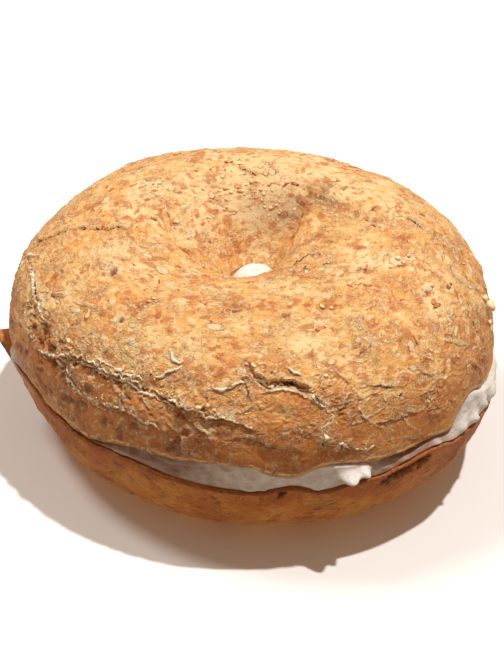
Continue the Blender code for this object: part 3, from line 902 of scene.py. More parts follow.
def keep_skin(mesh: Mesh, where: Array, relief: Relief, others: dict[Tint, Sequence[tuple]]) -> None:
    """Keeps what a relief knows of a skin on its mesh.

    Args:
        mesh: The mesh.
        where: The vertices that the relief is of.
        relief: The relief.
        others: For some tints, an amount and the other vertices that have it.
    """
    for tint in Tint:
        amounts = np.zeros(len(mesh.vertices))
        amounts[where] = relief.tints[tint]
        for amount, chosen in others.get(tint, ()):
            amounts[chosen] = amount
        keep_number(mesh, tint.value, amounts)
    for reach in Reach:
        distances = np.full(len(mesh.vertices), FAR)
        distances[where] = relief.reaches[reach]
        keep_number(mesh, reach.value, distances)


def joined(copies: Sequence[Piece]) -> Piece:
    """Joins copies into one piece.

    Args:
        copies: The copies.

    Returns:
        The piece.
    """
    deselect()
    for copy in copies:
        copy.select_set(True)
    bpy.context.view_layer.objects.active = copies[0]
    bpy.ops.object.join()
    return bpy.context.object


def finish_piece(piece: Piece, name: str, material: Material, slot: str) -> Piece:
    """Names and dresses a piece, and ties it to the bagel.

    Args:
        piece: The piece.
        name: Its name.
        material: Its material.
        slot: Not used.

    Returns:
        The piece.
    """
    piece.name = piece.data.name = name
    piece.data.materials.clear()
    piece.data.materials.append(material)
    piece.data.shade_smooth()
    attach(piece, BODY)
    triangles = sum(len(face.vertices) - 2 for face in piece.data.polygons)
    LOG.info("%s: %d triangles", name, triangles)
    return piece


@dataclass(frozen=True)
class Band:
    """A stretch of rows in a ring's section, from one value of a part to another."""

    part: str
    rows: int
    start: float
    end: float
    crowding: float = 1.0


def stretches(bands: Sequence[Band], row: Array) -> Iterator[tuple[Band, Array, Array]]:
    """Sorts the vertices of a skin by the bands of its section.

    Args:
        bands: The bands.
        row: Each vertex's row.

    Yields:
        Each band, which vertices are in it, and the value of its part at each of them.
    """
    first = 0
    for band in bands:
        chosen = (row >= first) & ((row < first + band.rows) | (band is bands[-1]))
        share = ((row[chosen] - first) / band.rows) ** band.crowding
        yield band, chosen, band.start + (band.end - band.start) * share
        first += band.rows


def crowded(azimuth: Array) -> Array:
    """Azimuths drawn together at the front, where the skin is seen closest."""
    return azimuth - np.degrees(CROWDING) * np.sin(np.radians(azimuth + 90))


@dataclass
class Ring:
    """A ring of fine quads: a torus whose columns run round the bagel and whose rows follow a section."""

    bands: Sequence[Band]
    columns: int
    refined: Sequence[tuple[float, float, float, float]] = ()
    major: float = 4.0

    @property
    def rows(self) -> int:
        """How many rows the section has."""
        return sum(band.rows for band in self.bands)

    def angles(self, places: Array) -> tuple[Array, Array]:
        """The azimuth and the row, as fractions, of places on the torus."""
        azimuth = crowded(np.degrees(np.arctan2(places[:, 1], places[:, 0])))
        turn = np.arctan2(places[:, 2], np.hypot(places[:, 0], places[:, 1]) - self.major)
        return azimuth, np.round(turn / math.tau * self.rows, 4) % self.rows

    def build(self) -> Piece:
        """Makes the torus and cuts its refined stretches finer.

        Returns:
            The piece.
        """
        deselect()
        bpy.ops.mesh.primitive_torus_add(
            major_segments=self.columns, minor_segments=self.rows, major_radius=self.major, minor_radius=1.0
        )
        ring = bpy.context.object
        for from_azimuth, to_azimuth, from_row, to_row in self.refined:
            azimuth, row = self.angles(vectors(ring.data.polygons, "center"))
            around = (azimuth - from_azimuth) % 360 < (to_azimuth - from_azimuth)
            subdivide(ring, around & (row > from_row) & (row < to_row))
        return ring

    def stations(self, mesh: Mesh) -> tuple[Array, dict[str, Array], dict[str, Array]]:
        """Reads where each vertex is in the section.

        Args:
            mesh: The torus.

        Returns:
            Each vertex's azimuth, and for each part which vertices are in it and at what value of it.
        """
        azimuth, row = self.angles(corners(mesh))
        inside, values = {}, {}
        for band, chosen, value in stretches(self.bands, row):
            inside[band.part], values[band.part] = np.flatnonzero(chosen), value
        return azimuth, inside, values


def normals_of(crust: Crust, azimuth: Array, latitude: Array) -> Array:
    """The directions that a crust faces at some of its points, for latitudes that rise on the outside.

    Args:
        crust: The crust's plain form.
        azimuth: The points' azimuths.
        latitude: Their latitudes.

    Returns:
        One unit vector for each point.
    """
    step = 0.5
    low, high = np.maximum(latitude - step, 0), np.minimum(latitude + step, 180)
    around = crust(azimuth + step, latitude) - crust(azimuth - step, latitude)
    return units(np.cross(around, crust(azimuth, high) - crust(azimuth, low)))


# --- finishes ---


def paint(red: int, green: int, blue: int) -> Colour:
    """A colour as the screen numbers it, 0 to 255, made linear.

    Args:
        red: The red.
        green: The green.
        blue: The blue.

    Returns:
        The colour.
    """

    def linear(value: int) -> float:
        """One channel."""
        share = value / 255
        return share / 12.92 if share <= 0.04045 else ((share + 0.055) / 1.055) ** 2.4

    return linear(red), linear(green), linear(blue)


class Shading:
    """Builds a material out of nodes."""

    def __init__(self, name: str) -> None:
        """Starts a material with one Principled shader."""
        self.material = bpy.data.materials.new(name)
        self.material.use_nodes = True
        self.tree = self.material.node_tree
        self.shader = self.tree.nodes["Principled BSDF"]
        self.colour: Socket = None

    def node(self, kind: str, inputs: dict, **settings: object) -> bpy.types.Node:
        """Adds a node.

        Args:
            kind: Its type, without ShaderNode.
            inputs: A value or another node's output for each of its inputs.
            settings: Its own settings.

        Returns:
            The node.
        """
        made = self.tree.nodes.new("ShaderNode" + kind)
        for name, value in settings.items():
            setattr(made, name, value)
        for name, value in inputs.items():
            self.feed(made.inputs[name], value)
        return made

    def feed(self, socket: Socket, value: object) -> None:
        """Gives a socket another node's output, a colour or a number.

        Args:
            socket: The socket.
            value: What it gets.
        """
        if isinstance(value, Socket):
            self.tree.links.new(value, socket)
        else:
            socket.default_value = (*value, 1.0) if socket.type == "RGBA" else value

    def place(self) -> Socket:
        """The point's place on the piece, in metres."""
        return self.node("TexCoord", {}).outputs["Object"]

    def number(self, name: str) -> Socket:
        """A number that the mesh keeps."""
        return self.node("Attribute", {}, attribute_name=name).outputs["Fac"]

    def drawn(self, place: Socket, pull: float) -> Socket:
        """The place with the way round the bagel shortened, so that what is read from it is drawn out that way.

        Args:
            place: The place.
            pull: How many times longer round the bagel than across the dough.

        Returns:
            A place to read patterns at.
        """
        apart = self.node("SeparateXYZ", {"Vector": place}).outputs
        level = [self.times(apart[axis], 1 / pull) for axis in ("X", "Y")]
        across = self.times(self.number("across"), MM)
        return self.node("CombineXYZ", {"X": level[0], "Y": level[1], "Z": across}).outputs[0]

    def clouds(self, place: Socket, size: float, detail: float = 3.0, roughness: float = 0.55) -> Socket:
        """Soft noise, 0 to 1, whose patches are about a size across."""
        inputs = {"Vector": place, "Scale": 1 / (size * MM), "Detail": detail, "Roughness": roughness}
        return self.node("TexNoise", inputs).outputs["Fac"]

    def cells(self, place: Socket, size: float, output: str = "Distance") -> Socket:
        """A pattern of cells about a size across."""
        return self.node("TexVoronoi", {"Vector": place, "Scale": 1 / (size * MM)}).outputs[output]

    def warped(self, place: Socket, size: float, amount: float) -> Socket:
        """The place, pushed about by noise so that edges read from it are ragged.

        Args:
            place: The place.
            size: The noise's size.
            amount: How far it pushes.

        Returns:
            A place to read patterns at.
        """
        swirl = self.node("TexNoise", {"Vector": place, "Scale": 1 / (size * MM), "Detail": 2.0}).outputs["Color"]
        centred = self.node("VectorMath", {0: swirl, 1: (0.5, 0.5, 0.5)}, operation="SUBTRACT").outputs[0]
        push = self.node("VectorMath", {0: centred, 3: 2 * amount * MM}, operation="SCALE").outputs[0]
        return self.node("VectorMath", {0: place, 1: push}, operation="ADD").outputs[0]

    def share(self, value: Socket, low: float, high: float, most: float = 1.0) -> Socket:
        """0 where the value is at low, and most where it is at high."""
        inputs = {"Value": value, "From Min": low, "From Max": high, "To Min": 0.0, "To Max": most}
        return self.node("MapRange", inputs, interpolation_type="SMOOTHSTEP").outputs["Result"]

    def math(self, operation: str, *terms: object) -> Socket:
        """Joins values by an operation, one after the other."""
        total = terms[0]
        for term in terms[1:]:
            total = self.node("Math", {0: total, 1: term}, operation=operation).outputs[0]
        return total

    def sum(self, *terms: object) -> Socket:
        """The sum of some values."""
        return self.math("ADD", *terms)

    def times(self, *factors: object) -> Socket:
        """The product of some values."""
        return self.math("MULTIPLY", *factors)

    def mix(self, factor: Socket, a: Socket | Colour, b: Socket | Colour) -> Socket:
        """One colour laid over another."""
        return self.node("Mix", {0: factor, 6: a, 7: b}, data_type="RGBA").outputs[2]

    def lay(self, factor: Socket, colour: Colour) -> None:
        """Lays a colour over what the material has so far."""
        self.colour = self.mix(factor, self.colour, colour)

    def ramp(self, value: Socket, stops: Sequence[tuple[float, Colour]]) -> Socket:
        """A colour for each value, blended between stops.

        Args:
            value: The value, 0 to 1.
            stops: A place and a colour for each stop.

        Returns:
            The colour.
        """
        made = self.node("ValToRGB", {"Fac": value})
        elements = made.color_ramp.elements
        while len(elements) < len(stops):
            elements.new(0.5)
        for element, (position, colour) in zip(elements, stops):
            element.position = position
            element.color = (*colour, 1.0)
        return made.outputs["Color"]

    def bump(self, height: Socket, depth: float, under: Optional[Socket] = None) -> Socket:
        """A normal that follows a height, over another normal if there is one."""
        inputs = {"Height": height, "Distance": depth * MM, "Strength": 1.0}
        return self.node("Bump", inputs if under is None else {**inputs, "Normal": under}).outputs["Normal"]

    def finish(self, normal: Socket, **values: float) -> Material:
        """Joins the colour and the normal to the shader and sets its other sockets.

        Args:
            normal: The normal.
            values: The sockets' values, with an underscore for each space of a name.

        Returns:
            The material.
        """
        for name, value in {"Base Color": self.colour, "Normal": normal, **values}.items():
            self.feed(self.shader.inputs[name.replace("_", " ")], value)
        return self.material


@dataclass(frozen=True)
class CrustFinish:
    """A baked wholewheat crust: golden where it is thin, browner where it caught the heat and where shade is painted
    in, and flaky all over.
    """

    name: str = "wholewheat_crust"
    cream: Colour = paint(253, 220, 162)
    golden: Colour = paint(244, 186, 108)
    amber: Colour = paint(230, 154, 78)
    brown: Colour = paint(178, 98, 42)
    blush: Colour = paint(208, 126, 72)
    bran: Colour = paint(190, 98, 42)
    flour: Colour = paint(255, 232, 188)
    # charred brown, also the colour of painted shade
    char_and_shade: Colour = paint(100, 36, 8)
    crumb: Colour = paint(232, 200, 150)
    patch_size: float = 9.0
    fleck_size: float = 1.5
    pull: float = 1.25
    flakiness: float = 1.0
    roughness: float = 0.58

    def sheets(
        self, s: Shading, drawn: Socket, size: float, count: float, where: Socket
    ) -> tuple[Socket, Socket, Socket]:
        """Thin layers of skin that overlap, each with a dry pale rim and a painted shadow beyond it.

        Args:
            s: The material's nodes.
            drawn: The place to read the pattern at.
            size: How broad the patches of layers are.
            count: How many layers lie over each other.
            where: How much of this there is at each point.

        Returns:
            The rims, the painted shadows and the height.
        """
        skin = s.clouds(s.warped(drawn, 0.7 * size, 0.4 * size), size, 4.0, 0.62)
        level = s.node("Math", {0: s.times(skin, count)}, operation="FRACT").outputs[0]
        rim = s.times(s.share(level, 0.7, 0.85), s.share(level, 0.98, 0.9), where)
        shadow = s.times(s.share(level, 0.16, 0.0), where)
        height = s.times(s.sum(s.share(level, 0.0, 0.88), s.share(level, 0.88, 1.0, -1.0)), where)
        return rim, shadow, height

    def spots(self, s: Shading, rough: Socket) -> Socket:
        """Bran and pale flakes baked into the skin, each with a ragged edge, and a painted shadow round each pale
        flake.

        Args:
            s: The material's nodes.
            rough: Fine noise about 0, which frays edges.

        Returns:
            Their height.
        """
        bran = s.sum(s.number("bran_edge"), s.times(rough, 1.2))
        scab = s.sum(s.number("scab_edge"), s.times(rough, 1.2))
        s.lay(s.share(bran, 0.3, -0.3, 0.6), self.bran)
        # painted shadow round each pale flake
        s.lay(s.share(scab, 0.36, 0.1, 0.25), self.brown)
        s.lay(s.share(scab, 0.15, -0.15, 0.75), self.flour)
        return s.sum(s.share(bran, 0.15, 0.0, 0.5), s.share(scab, 0.15, 0.0))

    def folds(self, s: Shading, rough: Socket, gaps: Socket) -> Socket:
        """The dry white rim and the painted shadow line along each fold.

        Args:
            s: The material's nodes.
            rough: Fine noise about 0, which frays edges.
            gaps: Coarser noise, which breaks the rims up.

        Returns:
            The height of the lips.
        """
        edge = s.sum(s.number("edge"), s.times(rough, 1.4))
        lip, shade, whole = s.number("lip"), s.number("shade"), s.share(gaps, 0.36, 0.48)
        broad = s.sum(edge, s.times(lip, lip, lip, 0.45))
        rim = s.times(s.share(broad, -0.36, -0.16), s.share(edge, 0.06, -0.05), lip, whole)
        line = s.times(s.share(edge, 0.0, 0.1), s.share(edge, 0.55, 0.28))
        s.lay(s.times(s.share(edge, -1.1, -0.2), s.share(edge, 0.0, -0.1), lip, 0.3), self.flour)
        # painted shadow line below each lip: brown, and charred brown where it is darkest
        s.lay(s.times(line, shade), self.brown)
        s.lay(s.times(line, s.share(shade, 0.4, 1.0)), self.char_and_shade)
        s.lay(rim, self.flour)
        lift = s.sum(s.share(edge, -0.7, -0.06), s.share(edge, 0.0, 0.14, -1.0))
        return s.times(lift, lip)

    def material(self) -> Material:
        """Builds the material.

        Returns:
            The material.
        """
        s = Shading(self.name)
        place = s.place()
        drawn = s.drawn(place, self.pull)
        ragged = s.warped(drawn, 1.3, 0.8)
        toast = s.sum(s.times(s.clouds(place, self.patch_size, 3.0), 0.5), s.times(s.number("toast"), 0.5))
        s.colour = s.ramp(toast, ((0.28, self.cream), (0.42, self.golden), (0.6, self.amber), (0.82, self.brown)))
        pale = s.share(s.number("toast"), 0.85, 0.45)
        blush = s.share(s.clouds(s.warped(place, 2.0, 1.2), 3.4, 4.0, 0.65), 0.5, 0.63, 0.9)
        s.lay(blush, self.blush)
        creamy = s.sum(s.times(pale, 0.7), 0.3)
        s.lay(s.times(s.share(s.clouds(ragged, 2.6, 4.0, 0.65), 0.47, 0.34, 0.95), creamy), self.cream)
        mottle = s.clouds(ragged, 1.3, 5.0, 0.7)
        s.lay(s.share(mottle, 0.52, 0.64, 0.9), self.amber)
        s.lay(s.times(s.share(mottle, 0.47, 0.36, 0.95), creamy), self.cream)
        fleck_seed = s.cells(ragged, self.fleck_size, output="Color")
        fleck_edge = s.share(s.cells(ragged, self.fleck_size), 0.6, 0.3)
        flecks = s.times(fleck_edge, s.share(fleck_seed, 0.64, 0.78), s.share(s.clouds(place, 5.0, 2.0), 0.42, 0.6))
        s.lay(s.times(flecks, 0.8), self.bran)
        specks = s.share(s.clouds(place, 0.55, 4.0, 0.7), 0.6, 0.72)
        s.lay(s.times(specks, 0.7), self.brown)
        baked = s.share(s.number("toast"), 0.02, 0.3, self.flakiness)
        broad = s.times(s.share(s.clouds(place, 7.5, 3.0), 0.42, 0.62), baked)
        small = s.times(s.share(s.clouds(place, 4.5, 3.0, 0.5), 0.4, 0.6), baked)
        rim, shadow, height = self.sheets(s, drawn, 4.2, 7.0, broad)
        fine_rim, fine_shadow, fine_height = self.sheets(s, drawn, 1.9, 5.0, small)
        # painted shadow beyond the edge of each layer of skin
        s.lay(s.times(s.math("MAXIMUM", shadow, fine_shadow), 0.55), self.brown)
        dust = s.share(s.clouds(s.warped(place, 0.8, 0.5), 0.6, 4.0, 0.7), 0.58, 0.7)
        s.lay(s.times(dust, 0.85, creamy), self.flour)
        s.lay(s.sum(s.times(rim, 0.55), s.times(fine_rim, 0.35)), self.flour)
        rough = s.sum(s.times(s.clouds(place, 0.5, 3.0, 0.6), 0.8), s.times(s.clouds(place, 0.2), 0.2), -0.5)
        flake = self.spots(s, rough)
        s.lay(s.number("bran"), self.bran)
        s.lay(s.number("pale"), self.flour)
        # charred brown, and painted shade in cracks, slits, pits, holes, the funnel, the torn flank and on the heel's
        # edge
        s.lay(s.number("dark"), self.char_and_shade)
        fold = self.folds(s, rough, s.clouds(place, 0.9, 2.0))
        s.lay(s.number("crumb"), self.crumb)
        fine = s.sum(s.times(s.clouds(place, 0.5, 4.0, 0.7), 0.7), s.times(flecks, 0.25))
        normal = s.bump(fine, 0.3)
        normal = s.bump(mottle, 0.35, normal)
        normal = s.bump(s.sum(height, s.times(fine_height, 0.5), flake), 0.2, normal)
        normal = s.bump(fold, 0.25, normal)
        return s.finish(normal, Roughness=self.roughness, Specular_IOR_Level=0.35)


@dataclass(frozen=True)
class CheeseFinish:
    """Cream cheese: white, a little waxy, with fine curds, and painted brown shade where it stands back under the
    crown.
    """

    name: str = "cream_cheese_white"
    white: Colour = paint(252, 249, 244)
    shade: Colour = paint(240, 233, 226)
    # the colour of the painted shade
    shaded_brown: Colour = paint(150, 102, 74)
    roughness: float = 0.36

    def material(self) -> Material:
        """Builds the material.

        Returns:
            The material.
        """
        s = Shading(self.name)
        place = s.place()
        s.colour = s.mix(s.share(s.clouds(place, 1.6, 4.0, 0.6), 0.4, 0.65), self.shade, self.white)
        # painted shade: brown where the filling stands back under the crown
        s.lay(s.number("cheese_shade"), self.shaded_brown)
        normal = s.bump(s.clouds(place, 0.8, 4.0, 0.65), 0.22)
        s.shader.inputs["Subsurface Radius"].default_value = (1.0, 0.8, 0.6)
        return s.finish(
            normal, Roughness=self.roughness, Subsurface_Weight=0.15, Subsurface_Scale=1.5 * MM, Specular_IOR_Level=0.45
        )


@dataclass(frozen=True)
class ChipFinish:
    """Loose bits of crust, bran and crumb, each with a tone of its own."""

    name: str
    low: Colour
    high: Colour
    roughness: float = 0.6

    def material(self) -> Material:
        """Builds the material.

        Returns:
            The material.
        """
        s = Shading(self.name)
        place = s.place()
        tone = s.sum(s.times(s.number("tone"), 0.8), s.times(s.clouds(place, 0.6, 3.0), 0.4))
        s.colour = s.mix(s.share(tone, 0.1, 1.0), self.low, self.high)
        return s.finish(s.bump(s.clouds(place, 0.4, 2.0), 0.12), Roughness=self.roughness)


# --- the bread ---


@dataclass
class Crown:
    """The top half: its crust with all that is folded and torn in it, the throat of the hole and the cut face."""

    columns: int = 360
    crust_rows: int = 76
    lump_size: float = 16.0
    lump_height: float = 0.8
    stray_folds: int = 460
    stray_marks: int = 760
    stride: float = 1.5
    # the latitudes that lines and spots keep to; they are fewer and fainter above the one, and bolder below the other
    lowest: float = 3.0
    highest: float = 168.0
    plain_above: float = 55.0
    bold_below: float = 42.0
    # the share of lines and of spots that is left out where they are to be few
    fewer_lines: float = 0.6
    fewer_marks: float = 0.7
    pull: float = 1.6
    seed: int = 7
    # from azimuth, to azimuth, from row, to row: finest at the torn layer, the fissure and the left crack
    finer: Sequence[tuple] = (
        (-187, 7, -0.5, 48), (7, 173, 36, 62), (-164, -95, 5.5, 16), (-95, -66, 8, 25), (-66, -22, 6, 22),
        (172, 208, 14, 24),
    )  # fmt: skip
    # (amount, azimuth, breadth, latitude, height) of the painted shade in the funnel
    shades: Sequence[tuple] = ((0.4, 74, 34, 142, 22), (0.4, 51, 6, 108, 9), (0.3, 45, 22, 128, 14))
    finish: CrustFinish = CrustFinish()

    def ring(self) -> Ring:
        """The rows and columns of the crown's skin, with its finer stretches."""
        waist, cut = Band("waist", 2, 1, 0), Band("cut", 5, 0, 1, 0.6)
        return Ring((Band("crust", self.crust_rows, 0, 1), waist, cut, Band("edge", 3, 0, 1)), self.columns, self.finer)

    def section(self) -> tuple[Array, Array]:
        """Latitudes over the crust, and how many millimetres from the girth each one is."""
        angles = np.linspace(0, 180, 361)
        line = FORM.crown_crust(np.full_like(angles, -100.0), angles)
        return angles, distances(line)

    def latitudes(self, share: Array) -> Array:
        """Latitudes for shares of the way over the crust, so that the rows are evenly spaced."""
        angles, lengths = self.section()
        return np.interp(share, lengths / lengths[-1], angles)

    def across(self, latitude: Array) -> Array:
        """How many millimetres from the girth some latitudes are."""
        return np.interp(latitude, *self.section())

    def knead(self, relief: Relief, azimuth: Array, latitude: Array) -> None:
        """Gives the crust its lumps, from the broad ones to the coarse grain of the skin, its toasting and painted
        shade.

        Args:
            relief: The crust's relief.
            azimuth: The azimuths of its points.
            latitude: Their latitudes.
        """
        points = relief.points
        left = smooth(-175, -160, azimuth) * smooth(-70, -85, azimuth)
        sleek = smooth(30, 16, latitude) * left
        relief.lift += self.lump_height * grain(points, self.lump_size)
        relief.lift += 0.34 * grain(points, 6.5, 2, seed=1)
        coarse = 0.15 * grain(points, 2.4, 3, seed=2) + 0.07 * grain(points, 0.9, 2, seed=7)
        relief.lift += coarse * (1 - 0.5 * sleek)
        torn = smooth(40, 30, latitude) * smooth(-178, -165, azimuth) * smooth(-92, -100, azimuth)
        # browner towards the girth and on the smooth lower left: partly baked browner, partly painted shade of the
        # sides that the light barely reaches
        toast = 0.42 + 0.35 * grain(points, 12.0, 3, seed=9) + 0.25 * sleek + 0.12 * torn
        toast += 0.38 * smooth(46, 10, latitude)
        # painted shade: in the funnel, and on the torn flank in its hollows and between the lips of its layers
        painted_shade = sum(
            amount * bell(azimuth - middle, breadth) * bell(latitude - level, height)
            for amount, middle, breadth, level, height in self.shades
        )
        hollows = smooth(0.1, 0.55, grain(points, 2.8, 3, seed=71)) * torn
        relief.lift -= 0.4 * hollows
        broken = smooth(-0.3, 0.3, grain(points, 5.0, 2, seed=73))
        painted_shade += 0.55 * hollows + 0.2 * torn * bell(latitude - 27, 5) * broken
        relief.tint(Tint.DARK, painted_shade)
        specks = smooth(0.3, 0.55, grain(points, 1.1, 2, seed=72)) * torn
        relief.lift += 0.12 * specks
        relief.tint(Tint.PALE, 0.6 * specks)
        toast += 0.5 * hollows + 0.15 * bell(azimuth + 76, 24) * smooth(50, 38, latitude)
        toast -= 0.2 * smooth(-150, -175, azimuth) * smooth(60, 40, latitude)
        toast -= 0.3 * bell(latitude - 124, 22) * bell(azimuth - 125, 28)
        toast -= 0.15 * bell(latitude - 100, 30) + 0.4 * bell(latitude - 118, 34) * bell(azimuth - 80, 60)
        relief.tint(Tint.TOAST, toast)
        drawn = np.stack([points[:, 0] / self.pull, points[:, 1] / self.pull, self.across(latitude)], axis=-1)
        level = (2.6 * grain(drawn + 0.5 * grain(points, 1.6, seed=64)[:, None], 3.4, 3, seed=61)) % 1.0
        flaky = smooth(0.0, 0.35, grain(points, 8.0, 2, seed=62)) * (1 - 0.7 * sleek)
        flaky *= 1 - 0.75 * bell(azimuth + 59, 7) * bell(latitude - 36, 13)
        flank = smooth(55, 35, latitude)
        relief.lift += (0.22 + 0.16 * flank) * flaky * (smooth(0, 0.84, level) - smooth(0.86, 1.0, level))
        relief.tint(Tint.PALE, 0.5 * flaky * bell(level - 0.83, 0.07))
        # painted shadow at the foot of each layer's edge, laid on in the bran colour
        relief.tint(Tint.BRAN, (0.45 + 0.3 * flank) * flaky * bell((level + 0.5) % 1 - 0.53, 0.07))

    def folds(self) -> list[FoldLine]:
        """Draws the small folds, lips and slits that wander over the crust, most of them low on its side.

        Returns:
            The lines.
        """
        dice = random.Random(self.seed)
        kinds = [Fold.WRINKLE] * 6 + [Fold.STEP] * 4 + [Fold.SLIT] * 2
        folds = []
        while len(folds) < self.stray_folds:
            azimuth, latitude = dice.uniform(-180, 180), dice.triangular(6, 155, 32)
            plain = latitude > self.plain_above
            rare = SLEEK.holds(azimuth, latitude) or plain
            if SLAB.holds(azimuth, latitude) or (rare and dice.random() < self.fewer_lines):
                continue
            heading, bend = math.radians(dice.gauss(0, 38)), dice.gauss(0, 0.35)
            route = [(azimuth, latitude)]
            for _ in range(dice.randint(1, 6)):
                heading += bend + dice.gauss(0, 0.4)
                radius = max(FORM.rough_radius(latitude), 8.0)
                azimuth += math.degrees(self.stride * math.cos(heading) / radius)
                latitude += 2.8 * self.stride * math.sin(heading)
                latitude = min(self.highest, max(self.lowest, latitude))
                route.append((azimuth, latitude))
            kind, size = dice.choice(kinds), dice.uniform(0.25, 0.5)
            bold = 0.5 if plain else 1.3 if latitude < self.bold_below else 1.0
            lip, pale = bold * dice.uniform(0.08, 0.24), bold * dice.uniform(0.3, 0.8)
            folds.append(FoldLine(kind, route, size, 0.45 * size, lip, pale, 0.3, bold * dice.uniform(0.2, 0.7)))
        return [fold for fold in folds if not CALM.holds(*fold.route[0])]

    def marks(self) -> list[Mark]:
        """Draws the bran, flakes, pits and blisters that lie about everywhere.

        Returns:
            The spots.
        """
        dice = random.Random(self.seed + 1)
        kinds = [Spot.BRAN] * 8 + [Spot.SCAB] * 3 + [Spot.PIT] * 2 + [Spot.BLISTER] * 4 + [Spot.HOLLOW]
        marks = []
        while len(marks) < self.stray_marks:
            azimuth, latitude = dice.uniform(-180, 180), dice.uniform(self.lowest, self.highest)
            crowd = FORM.rough_radius(latitude) / WIDEST
            if SLAB.holds(azimuth, latitude) or dice.random() > crowd:
                continue
            if SLEEK.holds(azimuth, latitude) and dice.random() < self.fewer_marks:
                continue
            kind = dice.choice(kinds)
            length = dice.uniform(0.4, 1.1) if kind in (Spot.BRAN, Spot.SCAB) else dice.uniform(0.3, 0.55)
            length = dice.uniform(1.5, 3.0) if kind is Spot.BLISTER else length
            width = length * dice.uniform(0.4, 0.9)
            marks.append(Mark(kind, azimuth, latitude, length, width, dice.uniform(-60, 60), dice.uniform(0.5, 1.1)))
        return marks

    def crust_relief(self, azimuth: Array, latitude: Array) -> Relief:
        """Works everything into the crust.

        Args:
            azimuth: The azimuths of its points.
            latitude: Their latitudes.

        Returns:
            The relief.
        """
        crust = FORM.crown_crust
        relief = Relief(crust(azimuth, latitude), normals_of(crust, azimuth, latitude))
        self.knead(relief, azimuth, latitude)
        for fold in (*CROWN_FOLDS, *self.folds()):
            fold.press(relief, crust)
        marks = [*CROWN_MARKS, *self.marks()]
        places = np.array([mark.azimuth for mark in marks], float), np.array([mark.latitude for mark in marks], float)
        for mark, centre, normal in zip(marks, crust(*places), normals_of(crust, *places)):
            mark.press(relief, centre, normal)
        calm = (0.3 + 0.7 * smooth(0, 10, latitude)) * smooth(179, 166, latitude)
        relief.lift *= calm
        relief.slide *= calm[:, None]
        rim = smooth(1.8, 0.5, latitude) * (0.55 + grain(relief.points, 2.2, 2, seed=63))
        rim *= 0.35 + 0.65 * smooth(-105, -85, azimuth)
        relief.tint(Tint.PALE, 0.5 * rim)
        return relief

    def build(self) -> Piece:
        """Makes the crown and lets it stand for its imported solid.

        Returns:
            The piece.
        """
        ring = self.ring()
        piece = ring.build()
        mesh = piece.data
        azimuth, inside, values = ring.stations(mesh)
        places = np.zeros((len(mesh.vertices), 3))
        across = np.zeros(len(mesh.vertices))
        ragged = 0.5 * grain(turned(azimuth) * EDGE_RADIUS, 2.4, 3, seed=21)
        crust = inside["crust"]
        latitude = self.latitudes(values["crust"])
        relief = self.crust_relief(azimuth[crust], latitude)
        places[crust] = raised(relief.moved(), ragged[crust] * smooth(9, 0, latitude))
        CROWN_SIDE.shape(places, azimuth, inside, values, ragged)
        cut, edge = inside["cut"], inside["edge"]
        across[crust] = self.across(latitude)
        across[edge] = -EDGE_WIDTH * (1 - values["edge"])
        across[cut] = -EDGE_WIDTH - CUT_DEPTH * (1 - values["cut"])
        across[inside["waist"]] = -EDGE_WIDTH - CUT_DEPTH
        place_corners(mesh, places * MM)
        keep_number(mesh, "across", across)
        keep_skin(mesh, crust, relief, {Tint.CRUMB: ((1.0, cut), (0.35, edge)), Tint.TOAST: ((0.8, edge),)})
        piece = finish_piece(piece, "crown_crust", self.finish.material(), "crust")
        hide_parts("crown")
        return piece


# --- the heel ---


